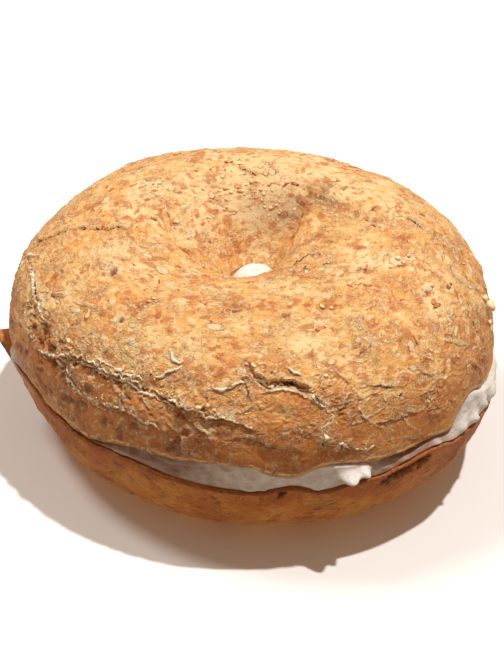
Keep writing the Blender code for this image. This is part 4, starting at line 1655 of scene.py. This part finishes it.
@dataclass
class Heel:
    """The bottom half: a smooth, darker crust with fine pale lines, flat where the baking tray was."""

    columns: int = 460
    flake_azimuth: float = -176.0
    flake_width: float = 5.0
    flake_reach: float = 3.6
    flake_rise: float = 4.6
    stray_folds: int = 260
    stray_marks: int = 260
    seed: int = 19
    # dark holes just under the torn edge at the front, with painted shade in them
    pockets: Sequence[Mark] = tuple(Mark(Spot.POCKET, *row) for row in (
        (-57.3, 13.2, 2.6, 1.7, 5), (-60.5, 14.5, 1.5, 1.0, 0, 0.5), (-51.8, 12.4, 1.9, 1.4, 10),
        (-54.4, 12.6, 1.4, 0.8, 20, 0.7), (-83.6, 11.5, 0.8, 1.1, 0, 0.7),
    ))  # fmt: skip
    finish: CrustFinish = CrustFinish(
        name="under_crust",
        cream=paint(244, 172, 86),
        golden=paint(238, 158, 72),
        amber=paint(222, 132, 52),
        brown=paint(172, 84, 28),
        blush=paint(200, 108, 46),
        bran=paint(140, 64, 28),
        flour=paint(244, 190, 124),
        char_and_shade=paint(84, 38, 14),
        crumb=paint(206, 142, 84),
        pull=1.3,
        flakiness=0.8,
    )

    def ring(self) -> Ring:
        """The rows and columns of the heel's skin."""
        edge, cut, waist = Band("edge", 3, 0, 1), Band("cut", 8, 1, 0, 1.6), Band("waist", 2, 1, 0)
        bands = (edge, cut, waist, Band("under", 26, 180, 90), Band("crust", 46, 1, 0))
        return Ring(bands, self.columns, ((-190, -5, 64, 85),))

    def build(self) -> Piece:
        """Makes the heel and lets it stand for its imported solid.

        Returns:
            The piece.
        """
        ring = self.ring()
        piece = ring.build()
        mesh = piece.data
        azimuth, inside, values = ring.stations(mesh)
        places = np.zeros((len(mesh.vertices), 3))
        ragged = 0.3 * grain(turned(azimuth) * EDGE_RADIUS, 2.0, 2, seed=41)
        top = FORM.heel_top_latitude
        crust = np.concatenate([inside["crust"], inside["under"]])
        latitude = np.concatenate([top + (90 - top) * values["crust"], values["under"]])
        relief = self.crust_relief(azimuth[crust], latitude)
        places[crust] = raised(relief.moved(), ragged[crust] * smooth(top + 8, top, latitude))
        places[crust, 2] = np.maximum(places[crust, 2], 0.0)
        HEEL_SIDE.shape(places, azimuth, inside, values, ragged)
        cut, edge = inside["cut"], inside["edge"]
        across = np.zeros(len(mesh.vertices))
        across[crust] = latitude * 0.45
        across[cut] = -CUT_DEPTH * (1 - values["cut"])
        outer = smooth(46, 51, np.hypot(*places[:, :2].T))
        flake = self.flake_share(azimuth) * smooth(9.0, 20.5, places[:, 2]) * outer
        places += turned(azimuth) * (self.flake_reach * flake)[:, None]
        places[:, 2] += self.flake_rise * flake
        place_corners(mesh, places * MM)
        keep_number(mesh, "across", across)
        crumb = 1.0 - 0.8 * smooth(0.9, 1.0, values["cut"])
        others = {
            Tint.CRUMB: ((crumb, cut), (0.1, edge)),
            Tint.TOAST: ((1.3, edge), (1.0, cut)),
            # painted shade on the rounded torn edge
            Tint.DARK: ((0.4, edge),),
        }
        keep_skin(mesh, crust, relief, others)
        piece = finish_piece(piece, "heel_crust", self.finish.material(), "under_crust")
        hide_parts("heel")
        return piece

    def flake_share(self, azimuth: Array) -> Array:
        """How much of the torn flake of skin that stands out at the left is at each azimuth."""
        return bell(apart(azimuth, self.flake_azimuth), self.flake_width)

    def crust_relief(self, azimuth: Array, latitude: Array) -> Relief:
        """Works lumps, fine folds and spots into the crust.

        Args:
            azimuth: The azimuths of its points.
            latitude: Their latitudes.

        Returns:
            The relief.
        """
        crust = FORM.heel_crust
        relief = Relief(crust(azimuth, latitude), -normals_of(crust, azimuth, latitude))
        points = relief.points
        relief.lift += 0.5 * grain(points, 14.0, 1, seed=12) + 0.22 * grain(points, 5.0, 2, seed=13)
        relief.lift += 0.07 * grain(points, 1.4, 3, seed=14)
        toast = 0.4 + 0.6 * grain(points, 9.0, 3, seed=15) + 0.3 * grain(points, 3.0, 2, seed=16)
        # browner towards the top of the heel: painted shade under the crown's edge
        relief.tint(Tint.TOAST, toast + 0.5 * smooth(30, 12, latitude))
        dice = random.Random(self.seed)
        for _ in range(self.stray_folds):
            start, level = dice.uniform(-180, 180), dice.uniform(14, 60)
            rise = dice.gauss(0, 2.5)
            route = [(start + 2.6 * k, level + rise * k + dice.gauss(0, 1.0)) for k in range(dice.randint(3, 6))]
            FoldLine(Fold.WRINKLE, route, 0.5, 0.12, 0.12, dice.uniform(0.3, 0.8), 0.25).press(relief, crust)
        for _ in range(self.stray_marks):
            azimuth, level = dice.uniform(-180, 180), dice.uniform(14, 88)
            kind = dice.choice([Spot.BRAN, Spot.BRAN, Spot.BRAN, Spot.PIT, Spot.HOLLOW])
            length = dice.uniform(0.5, 1.6) if kind is Spot.BRAN else dice.uniform(0.3, 0.6)
            self.set_in(relief, Mark(kind, azimuth, level, length, length * 0.45, dice.uniform(-20, 20), 0.8))
        calm = smooth(FORM.heel_top_latitude, FORM.heel_top_latitude + 8, latitude) * smooth(178, 165, latitude)
        seat = 0.1 + 0.9 * smooth(0.4, 4.0, points[:, 2])
        relief.lift *= (0.3 + 0.7 * calm) * seat
        relief.slide *= (calm * seat)[:, None]
        for mark in self.pockets:
            self.set_in(relief, mark)
        return relief

    def set_in(self, relief: Relief, mark: Mark) -> None:
        """Works one spot into the crust."""
        place = np.array([mark.azimuth]), np.array([mark.latitude])
        mark.press(relief, FORM.heel_crust(*place)[0], -normals_of(FORM.heel_crust, *place)[0])


# --- the cream cheese ---


@dataclass(frozen=True)
class Lobe:
    """A place where the cheese swells out between the halves."""

    azimuth: float
    height: float
    reach: float
    breadth: float
    tallness: float


@dataclass
class CreamCheese:
    """The filling, with the plug of it that has squeezed up the hole."""

    columns: int = 560
    dome_rows: int = 10
    face_rows: int = 8
    side_rows: int = 22
    lobes: Sequence[Lobe] = tuple(Lobe(*row) for row in (
        (-90.5, 19.4, 1.8, 2.0, 1.0), (-87.5, 19.7, 1.5, 0.8, 0.8), (-76.5, 19.0, 2.6, 1.5, 1.2),
        (-69.5, 22.3, 3.4, 2.0, 1.8), (-66.0, 22.9, 2.6, 1.2, 1.3), (-47.5, 22.8, 1.2, 1.2, 0.8),
        (-39.5, 22.4, 1.4, 1.3, 1.4), (-35.0, 22.2, 1.8, 1.2, 1.8), (-30.5, 23.0, 1.4, 1.0, 2.0),
        (-25.0, 22.6, 1.2, 1.6, 2.2), (-168.0, 22.4, 1.4, 3.6, 1.6), (-120.0, 22.0, 0.6, 6.0, 1.0),
    ))  # fmt: skip
    finish: CheeseFinish = CheeseFinish()

    def rows(self) -> tuple[Band, ...]:
        """The stretches of the section, from the top of the plug to the middle of the underside."""
        return (
            Band("dome", self.dome_rows, 0, 1),
            Band("upper", self.face_rows, 0, 1, 0.6),
            Band("side", self.side_rows, 0, 1),
            Band("lower", self.face_rows, 1, 0, 1.6),
            Band("sag", 3, 0, 1),
        )

    def build(self) -> Piece:
        """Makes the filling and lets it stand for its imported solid.

        Returns:
            The piece.
        """
        bands = self.rows()
        count = sum(band.rows for band in bands)
        deselect()
        bpy.ops.mesh.primitive_uv_sphere_add(segments=self.columns, ring_count=count, radius=1.0)
        piece = bpy.context.object
        mesh = piece.data
        ball = corners(mesh)
        azimuth = crowded(np.degrees(np.arctan2(ball[:, 1], ball[:, 0])))
        row = np.round(np.arccos(np.clip(ball[:, 2], -1, 1)) / math.pi * count, 3)
        places = np.zeros_like(ball)
        for band, chosen, value in stretches(bands, row):
            places[chosen] = getattr(self, band.part)(azimuth[chosen], value)
        place_corners(mesh, places * MM)
        # the painted shade of the filling, kept for its material
        keep_number(mesh, "cheese_shade", self.painted_shades(azimuth, places))
        piece = finish_piece(piece, "cream_cheese_filling", self.finish.material(), "cream_cheese")
        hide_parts("cream_cheese")
        return piece

    def painted_shades(self, azimuth: Array, places: Array) -> Array:
        """How much painted shade the filling has at each point: most where it stands back from the rim, least on the
        lobes that stand out.

        Args:
            azimuth: The points' azimuths.
            places: The points.

        Returns:
            One share for each point.
        """
        cheese_shade = wave(CHEESE_PAINTED_SHADE, azimuth) + 0.25 * grain(places, 2.2, 2, seed=55)
        standing = np.zeros(len(places))
        for lobe in self.lobes:
            upright = bell(places[:, 2] - lobe.height, lobe.tallness)
            standing += 0.5 * lobe.reach * bell(apart(azimuth, lobe.azimuth), lobe.breadth) * upright
        outer = smooth(40, 46, np.hypot(places[:, 0], places[:, 1]))
        return np.clip(cheese_shade * (1 - np.clip(standing, 0, 1)), 0, 1) * outer

    def reaches(self, azimuth: Array) -> tuple[Array, Array]:
        """How far the filling goes towards each half's rim, as shares of the two cut faces.

        Args:
            azimuth: The points' azimuths.

        Returns:
            The share of the crown and the share of the heel.
        """
        recess = wave(CHEESE_RECESS, azimuth)
        crown, heel = FORM.crown_rim(azimuth), FORM.heel_rim(azimuth)
        upper = 1 - recess / (crown - FORM.throat_radius)
        return upper, 1 - 0.1 * (1 + np.maximum(recess, 0)) / (heel - FORM.throat_radius)

    def dome(self, azimuth: Array, share: Array) -> Array:
        """The plug's rounded top.

        Args:
            azimuth: The points' azimuths.
            share: 0 at the middle and 1 at its edge, for each point.

        Returns:
            The points.
        """
        angle = np.radians(share * 90)
        points = FORM.throat(azimuth, FORM.plug_radius * np.sin(angle))
        points = raised(points, FORM.plug_top_height - FORM.plug_dome_height * (1 - np.cos(angle)))
        return raised(points, 0.5 * grain(points, 2.6, 3, seed=51) * np.cos(angle))

    def upper(self, azimuth: Array, share: Array) -> Array:
        """The plug's wall and the face under the crown."""
        reach, _ = self.reaches(azimuth)
        points = CROWN_SIDE.face(azimuth, share * reach, FORM.plug_radius)
        return raised(points, np.full(len(points), -FORM.gap))

    def side(self, azimuth: Array, share: Array) -> Array:
        """The face that shows between the halves, with its lobes.

        Args:
            azimuth: The points' azimuths.
            share: 0 at the crown and 1 at the heel, for each point.

        Returns:
            The points.
        """
        upper, lower = self.reaches(azimuth)
        top = raised(CROWN_SIDE.face(azimuth, upper, FORM.plug_radius), np.full(len(azimuth), -FORM.gap))
        bottom = raised(HEEL_SIDE.face(azimuth, lower, FORM.plug_radius), np.full(len(azimuth), FORM.gap))
        points = top + (bottom - top) * share[:, None]
        full = np.sin(np.pi * share) ** 0.6
        swell = 0.3 + 0.6 * grain(points, 5.5, 2, seed=53) + 0.45 * np.abs(grain(points, 1.6, 3, seed=54))
        for lobe in self.lobes:
            above = points[:, 2] - lobe.height
            upright = bell(above / np.where(above > 0, 0.55, 1.0), lobe.tallness)
            swell += lobe.reach * bell(apart(azimuth, lobe.azimuth), lobe.breadth) * upright
        return points + turned(azimuth) * (full * swell)[:, None]

    def lower(self, azimuth: Array, share: Array) -> Array:
        """The face on the heel."""
        _, reach = self.reaches(azimuth)
        points = HEEL_SIDE.face(azimuth, share * reach, FORM.plug_radius)
        return raised(points, np.full(len(points), FORM.gap))

    def sag(self, azimuth: Array, share: Array) -> Array:
        """The underside, where it hangs into the heel's hole."""
        points = FORM.throat(azimuth, FORM.plug_radius * np.maximum(1 - share, 0.0))
        return raised(points, FORM.heel_cut_height + FORM.gap - FORM.cheese_sag * np.sin(np.pi / 2 * share))


# --- loose bits ---


@dataclass(frozen=True)
class Bit:
    """One loose bit: where it lies on a crust, its size, and how it is turned."""

    azimuth: float
    latitude: float
    length: float
    width: float
    thickness: float
    heading: float = 0.0
    tilt: float = 0.0
    tone: float = 0.5


@dataclass
class Ground:
    """A finished skin that loose bits come to lie on."""

    piece: Piece
    crust: Crust
    outward: float = 1.0
    drop: float = 6.0
    bedding: float = 0.04

    def tree(self) -> BVHTree:
        """The skin, ready to be asked where a line meets it."""
        return BVHTree.FromObject(self.piece, bpy.context.evaluated_depsgraph_get())

    def landed(self, points: Array, normals: Array) -> Array:
        """Drops points on the skin, along its normals.

        Args:
            points: The points.
            normals: The way out of the skin at each one.

        Returns:
            The points on the skin; one that misses it stays where it is.
        """
        tree = self.tree()
        met = [self.meet(tree, point, normal)[0] for point, normal in zip(points, normals)]
        return np.array([point if place is None else np.array(place) / MM for point, place in zip(points, met)])

    def meet(self, tree: BVHTree, point: Array, normal: Array) -> tuple:
        """Where the line through a point, along its normal, meets the skin, and the way that the skin faces there."""
        return tree.ray_cast(Vector((point + self.drop * normal) * MM), -Vector(normal), 2 * self.drop * MM)[:2]

    def frames(self, bits: Sequence[Bit]) -> list[Optional[Matrix]]:
        """Finds where bits come to lie.

        Args:
            bits: The bits.

        Returns:
            For each bit its frame: along it, towards its upper side and out of the skin. None where there is no skin.
        """
        tree = self.tree()
        azimuth, latitude = (np.array([getattr(bit, name) for bit in bits], float) for name in ("azimuth", "latitude"))
        points, normals = self.crust(azimuth, latitude), self.outward * normals_of(self.crust, azimuth, latitude)
        return [self.frame(tree, *found) for found in zip(bits, points, normals)]

    def frame(self, tree: BVHTree, bit: Bit, point: Array, normal: Array) -> Optional[Matrix]:
        """Drops one bit on the skin and turns it.

        Args:
            tree: The skin.
            bit: The bit.
            point: Its place on the crust's plain form.
            normal: The way out of the skin there.

        Returns:
            Its frame, or None where there is no skin.
        """
        place, face = self.meet(tree, point, normal)
        if place is None:
            return None
        out = (face + Vector(normal)).normalized()
        level = Vector((0, 0, 1)).cross(out).normalized()
        turn = Matrix.Rotation(math.radians(bit.heading), 3, out)
        along = turn @ level
        lift = Matrix.Rotation(math.radians(-bit.tilt), 3, along)
        side, up = lift @ out.cross(along), lift @ out
        rise = 0.5 * bit.width * math.sin(math.radians(abs(bit.tilt))) + 0.5 * bit.thickness - self.bedding
        axes = Matrix((along, side, up)).transposed().to_4x4()
        return Matrix.Translation(place + out * (rise * MM)) @ axes


def leaf(dice: random.Random) -> Piece:
    """Models a thin curled flake with a ragged outline, 2 long, 2 wide and 1 thick.

    Args:
        dice: What its outline is drawn from.

    Returns:
        The flake.
    """
    deselect()
    bpy.ops.mesh.primitive_grid_add(x_subdivisions=4, y_subdivisions=2, size=2.0)
    mesh = bpy.context.object.data
    places = corners(mesh)
    ragged = np.array([[dice.uniform(-0.16, 0.16), dice.uniform(-0.3, 0.3)] for _ in places])
    places[:, 1] *= 1 - 0.6 * np.abs(places[:, 0]) ** 2.5
    places[:, :2] += ragged
    places[:, 2] = dice.uniform(-1.5, 2.5) * places[:, 0] ** 2 + dice.uniform(-1, 2) * places[:, 1] ** 2
    place_corners(mesh, places)
    with editing("SELECT"):
        bpy.ops.mesh.solidify(thickness=1.0)
    return bpy.context.object


def lump(dice: random.Random) -> Piece:
    """Models a small broken crumb, 2 across.

    Args:
        dice: What its shape is drawn from.

    Returns:
        The crumb.
    """
    deselect()
    bpy.ops.mesh.primitive_ico_sphere_add(subdivisions=2, radius=1.0)
    with editing("SELECT"):
        bpy.ops.transform.vertex_random(offset=0.22, uniform=0.4, normal=0.5, seed=dice.randint(0, 999))
    return bpy.context.object


@dataclass
class Litter:
    """Loose bits of one kind: a few are modelled, and each bit is a copy of one of them."""

    name: str
    shape: Callable[[random.Random], Piece]
    finish: ChipFinish
    slot: str
    models: int = 5
    seed: int = 3

    def build(self, ground: Ground, bits: Sequence[Bit]) -> Piece:
        """Lays the bits on the ground and joins them into one piece.

        Args:
            ground: The skin.
            bits: The bits.

        Returns:
            The piece.
        """
        dice = random.Random(self.seed)
        models = [self.shape(dice) for _ in range(self.models)]
        copies = []
        for bit, frame in zip(bits, ground.frames(bits)):
            model = dice.choice(models)
            if frame is None:
                continue
            copy = model.copy()
            copy.data = model.data.copy()
            keep_number(copy.data, "tone", np.full(len(copy.data.vertices), bit.tone))
            half = [0.5 * size * MM for size in (bit.length, bit.width, bit.thickness)]
            half[2] *= 2 if self.shape is leaf else 1
            copy.matrix_world = frame @ Matrix.Diagonal((*half, 1.0))
            bpy.context.collection.objects.link(copy)
            copies.append(copy)
        for model in models:
            bpy.data.objects.remove(model)
        piece = joined(copies)
        bpy.ops.object.transform_apply(location=True, rotation=True, scale=True)
        return finish_piece(piece, self.name, self.finish.material(), self.slot)


@dataclass(frozen=True)
class Sprinkle:
    """How loose bits of one kind are strewn over a crust, in patches."""

    count: int
    latitudes: tuple[float, float, float]
    length: tuple[float, float]
    slimness: tuple[float, float]
    thickness: float
    tilt: tuple[float, float]
    tone: tuple[float, float] = (0.0, 1.0)
    heading_spread: float = 35.0
    patch_size: float = 7.0
    patchiness: float = 0.5
    seed: int = 0

    def bits(self, crust: Crust) -> list[Bit]:
        """Draws the bits.

        Args:
            crust: The crust's plain form.

        Returns:
            The bits.
        """
        dice = random.Random(self.seed)
        found = []
        while len(found) < self.count:
            azimuth, latitude = dice.uniform(-180, 180), dice.triangular(*self.latitudes)
            draw = dice.random()
            point = crust(np.array([azimuth]), np.array([latitude]))[0]
            patch = 0.5 + 0.9 * noise.fractal(Vector(point / self.patch_size) + Vector((self.seed, 7, 3)), 1.0, 2.0, 2)
            crowd = min(math.hypot(point[0], point[1]) / WIDEST, 1.0)
            fewer = 0.35 if SWEPT.holds(azimuth, latitude) else 1.0
            if draw > crowd * (1 - self.patchiness + self.patchiness * patch) * fewer:
                continue
            length = dice.uniform(*self.length) * dice.uniform(0.7, 1.0)
            width = length * dice.uniform(*self.slimness)
            heading, tilt = dice.gauss(0, self.heading_spread), dice.uniform(*self.tilt)
            found.append(Bit(azimuth, latitude, length, width, self.thickness, heading, tilt, dice.uniform(*self.tone)))
        return found


@dataclass
class LooseSkin:
    """The dry rims of torn skin: thin ragged ribbons along folds, each held by the crust along its upper side."""

    name: str
    finish: ChipFinish
    slot: str
    spacing: float = 0.2
    hold: float = 0.28
    reach: float = 0.4
    rise: float = 0.26
    thickness: float = 0.05
    torn_size: float = 1.5
    fullness: float = 0.5
    jag: float = 0.3
    models: dict[int, Piece] = field(default_factory=dict)

    def build(self, ground: Ground, folds: Sequence[FoldLine]) -> Piece:
        """Lays a ribbon along each fold and joins them into one piece.

        Args:
            ground: The skin.
            folds: The folds.

        Returns:
            The piece.
        """
        copies = [self.ribbon(ground, fold) for fold in folds]
        for model in self.models.values():
            bpy.data.objects.remove(model)
        piece = joined(copies)
        self.settle(ground, piece.data)
        shell = piece.modifiers.new("shell", "SOLIDIFY")
        shell.thickness = self.thickness * MM
        shell.offset = 0.0
        bpy.ops.object.modifier_apply(modifier=shell.name)
        return finish_piece(piece, self.name, self.finish.material(), self.slot)

    def model(self, steps: int) -> Piece:
        """The flat ribbon of some steps, made once.

        Args:
            steps: How many steps.

        Returns:
            The ribbon.
        """
        if steps not in self.models:
            deselect()
            bpy.ops.mesh.primitive_grid_add(x_subdivisions=steps, y_subdivisions=2, size=2.0)
            self.models[steps] = bpy.context.object
        return self.models[steps]

    def ribbon(self, ground: Ground, fold: FoldLine) -> Piece:
        """Lays one ribbon on the crust's plain form, and keeps on it how far it is to stand off.

        Args:
            ground: The skin.
            fold: The fold.

        Returns:
            The ribbon.
        """
        line = fold.line(ground.crust)
        run = distances(line)
        steps = max(3, int(run[-1] / self.spacing))
        share = np.linspace(0, 1, steps + 1)
        middle = np.stack([np.interp(share * run[-1], run, line[:, axis]) for axis in range(3)], axis=-1)
        places = fold.places()
        azimuth, latitude = (np.interp(share * run[-1], run, places[:, axis]) for axis in range(2))
        normals = ground.outward * normals_of(ground.crust, azimuth, np.clip(latitude, 1, 179))
        down = units(np.cross(np.gradient(middle, axis=0), normals))
        wander = fold.waver * grain(middle, 1.4, 2, seed=3) + self.jag * grain(middle, 0.9, 2, seed=72)
        middle = middle - down * wander[:, None]
        torn = np.clip(self.fullness + 1.5 * grain(middle, self.torn_size, 2, seed=71), 0.0, 1.4)
        torn *= np.sin(np.pi * np.clip(share, 0.02, 0.98)) ** 0.5
        copy = self.model(steps).copy()
        copy.data = copy.data.copy()
        flat = corners(copy.data)
        column = np.round((flat[:, 0] + 1) / 2 * steps).astype(int)
        outer = (1 - flat[:, 1]) / 2
        offset = np.where(outer < 0.5, -self.hold, np.where(outer > 0.9, self.reach * torn[column], 0.0))
        rise = self.rise * torn[column] - 0.07 * (torn[column] < 0.15)
        lift = np.where(outer < 0.5, -0.06, np.where(outer > 0.9, rise, 0.55 * rise))
        place_corners(copy.data, middle[column] + down[column] * offset[:, None])
        for name, values in (("lift", lift), ("tone", np.clip(0.25 + outer * (0.5 + 0.5 * torn[column]), 0, 1))):
            keep_number(copy.data, name, values)
        out = copy.data.attributes.new("out", "FLOAT_VECTOR", "POINT")
        out.data.foreach_set("vector", normals[column].ravel())
        bpy.context.collection.objects.link(copy)
        return copy

    def settle(self, ground: Ground, mesh: Mesh) -> None:
        """Brings all the ribbons down on the skin and forgets what was kept for it.

        Args:
            ground: The skin.
            mesh: The joined ribbons.
        """
        lift, out = np.empty(len(mesh.vertices)), vectors(mesh.attributes["out"].data, "vector")
        mesh.attributes["lift"].data.foreach_get("value", lift)
        place_corners(mesh, (ground.landed(corners(mesh), out) + out * lift[:, None]) * MM)
        for name in ("lift", "out"):
            mesh.attributes.remove(mesh.attributes[name])


def lip_crumbs(fold: FoldLine, dice: random.Random, density: float = 1.1) -> list[Bit]:
    """Scatters small crumbs along the lip of a torn layer.

    Args:
        fold: The fold.
        dice: What they are drawn from.
        density: How many there are to a millimetre.

    Returns:
        The crumbs.
    """
    places = fold.places()
    line = fold.line(FORM.crown_crust)
    run = distances(line)
    bits = []
    for _ in range(int(density * run[-1])):
        along = dice.uniform(0, run[-1])
        azimuth, latitude = (float(np.interp(along, run, places[:, axis])) for axis in range(2))
        size = dice.uniform(0.15, 0.5)
        latitude, width = latitude + dice.gauss(0.3, 1.4), size * dice.uniform(0.5, 0.9)
        heading, tone = dice.uniform(-90, 90), dice.uniform(0.5, 1.0)
        bits.append(Bit(azimuth, latitude, size, width, 0.7 * size, heading, 0.0, tone))
    return bits


FLAKE_CHIPS = ChipFinish("dry_skin", paint(226, 156, 86), paint(255, 226, 172))
SKIN_CHIPS = ChipFinish("torn_skin", paint(252, 202, 146), paint(255, 240, 214))
EDGE_CHIPS = ChipFinish("edge_skin", paint(190, 116, 58), paint(250, 206, 142))
BRAN_CHIPS = ChipFinish("bran", paint(150, 82, 44), paint(214, 138, 84))
CRUMB_CHIPS = ChipFinish("bread_crumb", paint(214, 150, 88), paint(255, 234, 186))
HEEL_CHIPS = ChipFinish("under_skin", paint(160, 86, 38), paint(246, 184, 112))

HERO_CRUMBS = tuple(Bit(*row) for row in (
    # the big crumb that stands on the right silhouette, and the small one below it
    (-13.5, 27, 2.7, 2.4, 1.9, 30, 10, 0.9),
    (-11.5, 30, 1.6, 1.3, 1.1, -20, 0, 0.7),
    (-16.0, 21, 1.3, 1.0, 0.8, 0, 0, 0.8),
    # the cluster at the back left, and the one on the right of the hole
    (136, 95, 1.1, 0.8, 0.7, 10, 0, 1.0),
    (133.5, 93, 0.8, 0.7, 0.6, 50, 0, 0.9),
    (138.5, 92, 0.7, 0.6, 0.5, -30, 0, 0.8),
    (-20, 85, 1.2, 0.9, 0.7, 20, 0, 1.0),
    (-23, 83, 0.9, 0.8, 0.6, 60, 0, 0.9),
    (-17, 81, 1.0, 0.7, 0.6, -20, 0, 0.6),
    (-26, 86, 0.8, 0.6, 0.5, -20, 0, 0.8),
    # at the end of the fissure and on the torn layer
    (-72, 48, 0.9, 0.7, 0.5, 0, 0, 1.0),
    (-102, 31, 1.3, 0.9, 0.8, 20, 0, 1.0),
    (-100, 32.5, 0.9, 0.7, 0.6, 70, 0, 0.9),
    (-98.5, 30.5, 0.8, 0.6, 0.5, 0, 0, 0.8),
))


def funnel_crumbs(dice: random.Random, count: int = 46) -> list[Bit]:
    """Scatters small crumbs on the funnel's back wall.

    Args:
        dice: What they are drawn from.
        count: How many.

    Returns:
        The crumbs.
    """
    bits = []
    for _ in range(count):
        size, azimuth, latitude = dice.uniform(0.4, 1.0), dice.gauss(88, 17), dice.gauss(127, 8)
        width, heading, tone = size * dice.uniform(0.6, 0.9), dice.uniform(-60, 60), dice.uniform(0.3, 1.0)
        bits.append(Bit(azimuth, latitude, size, width, 0.6 * size, heading, 0.0, tone))
    return bits


def strew(crown: Ground, heel: Ground) -> None:
    """Lays all the loose skin and bits.

    Args:
        crown: The crown's skin.
        heel: The heel's skin.
    """
    dice = random.Random(29)
    funnel = funnel_crumbs(dice)
    flakes = Sprinkle(300, (6, 165, 40), (0.3, 1.1), (0.4, 0.8), 0.05, (-8, 25), (0.1, 0.9), 90, seed=41)
    bran = Sprinkle(130, (6, 168, 90), (0.5, 1.5), (0.35, 0.65), 0.06, (-4, 8), (0.0, 1.0), 40, 6.0, 0.7, seed=42)
    crumbs = Sprinkle(300, (5, 165, 60), (0.16, 0.4), (0.6, 0.95), 0.2, (0, 0), (0.3, 1.0), 90, 6.0, 0.5, seed=43)
    under = Sprinkle(90, (12, 75, 25), (0.3, 0.9), (0.25, 0.5), 0.05, (-5, 15), (0.0, 1.0), 15, seed=44)
    raised_kinds = (Fold.STEP, Fold.WRINKLE, Fold.CRACK)
    torn = [fold for fold in CROWN_FOLDS if fold.kind in raised_kinds and fold.pale > 0.78]
    LooseSkin("torn_lips", SKIN_CHIPS, "crust", fullness=0.6).build(crown, torn)
    by_lips = [bit for fold in torn if fold.pale > 0.8 for bit in lip_crumbs(fold, dice)]
    rim = [FoldLine(Fold.STEP, [(azimuth, 0.9) for azimuth in range(-188, 4, 3)], waver=0.3)]
    LooseSkin("edge_skin", EDGE_CHIPS, "crust", reach=0.45, rise=0.05, torn_size=1.6).build(crown, rim)
    Litter("dry_flakes", leaf, FLAKE_CHIPS, "crust").build(crown, flakes.bits(crown.crust))
    Litter("bran_flakes", leaf, BRAN_CHIPS, "crust", seed=5).build(crown, bran.bits(crown.crust))
    small = [*HERO_CRUMBS, *funnel, *by_lips, *crumbs.bits(crown.crust)]
    Litter("crumbs", lump, CRUMB_CHIPS, "crust", seed=6).build(crown, small)
    Litter("heel_flakes", leaf, HEEL_CHIPS, "under_crust", seed=7).build(heel, under.bits(heel.crust))


# --- the studio ---


@dataclass(frozen=True)
class Lamp:
    """A far light: where it stands, how strong and how broad it is."""

    name: str
    azimuth: float
    elevation: float
    strength: float
    spread: float
    colour: Colour = (1.0, 0.98, 0.95)


@dataclass(frozen=True)
class Studio:
    """A pale floor, a high key light from the right, a softer one from behind, a pale room and the camera."""

    target: tuple[float, float, float] = (-0.00006, 0.0, 0.020)
    distance: float = 0.400
    elevation: float = 35.2
    lens: float = 96.2
    lamps: Sequence[Lamp] = (Lamp("key", 10.0, 74.0, 2.45, 2.0), Lamp("second", 152.0, 62.0, 1.05, 14.0))
    room: Colour = (1.0, 0.76, 0.55)
    room_strength: float = 0.33
    floor_colour: Colour = (0.93, 0.92, 0.91)

    def build(self) -> None:
        """Makes all of it."""
        scene = bpy.context.scene
        scene.view_settings.view_transform = "Standard"
        self.camera(scene)
        for lamp in self.lamps:
            self.light(scene, lamp)
        self.surroundings(scene)
        self.floor()

    def camera(self, scene: bpy.types.Scene) -> None:
        """The camera, looking down at the front.

        Args:
            scene: The scene.
        """
        data = bpy.data.cameras.new("camera")
        data.lens = self.lens
        data.sensor_width = 36.0
        data.clip_start = 0.01
        camera = bpy.data.objects.new("camera", data)
        angle = math.radians(self.elevation)
        back = Vector((0, -math.cos(angle), math.sin(angle)))
        camera.location = Vector(self.target) + back * self.distance
        camera.rotation_euler = (math.pi / 2 - angle, 0, 0)
        scene.collection.objects.link(camera)
        scene.camera = camera

    def light(self, scene: bpy.types.Scene, lamp: Lamp) -> None:
        """Hangs one far light.

        Args:
            scene: The scene.
            lamp: The light.
        """
        data = bpy.data.lights.new(lamp.name, "SUN")
        data.energy = lamp.strength
        data.angle = math.radians(lamp.spread)
        data.color = lamp.colour
        light = bpy.data.objects.new(lamp.name, data)
        azimuth, height = math.radians(lamp.azimuth), math.radians(lamp.elevation)
        towards = Vector((math.cos(height) * math.cos(azimuth), math.cos(height) * math.sin(azimuth), math.sin(height)))
        light.rotation_euler = towards.to_track_quat("Z", "Y").to_euler()
        scene.collection.objects.link(light)

    def surroundings(self, scene: bpy.types.Scene) -> None:
        """The pale room.

        Args:
            scene: The scene.
        """
        world = bpy.data.worlds.new("room")
        world.use_nodes = True
        background = world.node_tree.nodes["Background"]
        background.inputs["Color"].default_value = (*self.room, 1.0)
        background.inputs["Strength"].default_value = self.room_strength
        scene.world = world

    def floor(self) -> None:
        """The floor."""
        deselect()
        bpy.ops.mesh.primitive_plane_add(size=6.0)
        floor = bpy.context.object
        floor.name = "floor"
        s = Shading("pale_floor")
        s.shader.inputs["Base Color"].default_value = (*self.floor_colour, 1.0)
        s.shader.inputs["Roughness"].default_value = 0.9
        s.shader.inputs["Specular IOR Level"].default_value = 0.1
        floor.data.materials.append(s.material)
        floor.visible_diffuse = False


def main() -> None:
    """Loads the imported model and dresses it."""
    logging.basicConfig(level=logging.INFO, format="%(name)s: %(message)s")
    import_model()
    Studio().build()
    crown = Crown().build()
    heel = Heel().build()
    CreamCheese().build()
    strew(Ground(crown, FORM.crown_crust), Ground(heel, FORM.heel_crust, outward=-1.0))


if __name__ == "__main__":
    main()
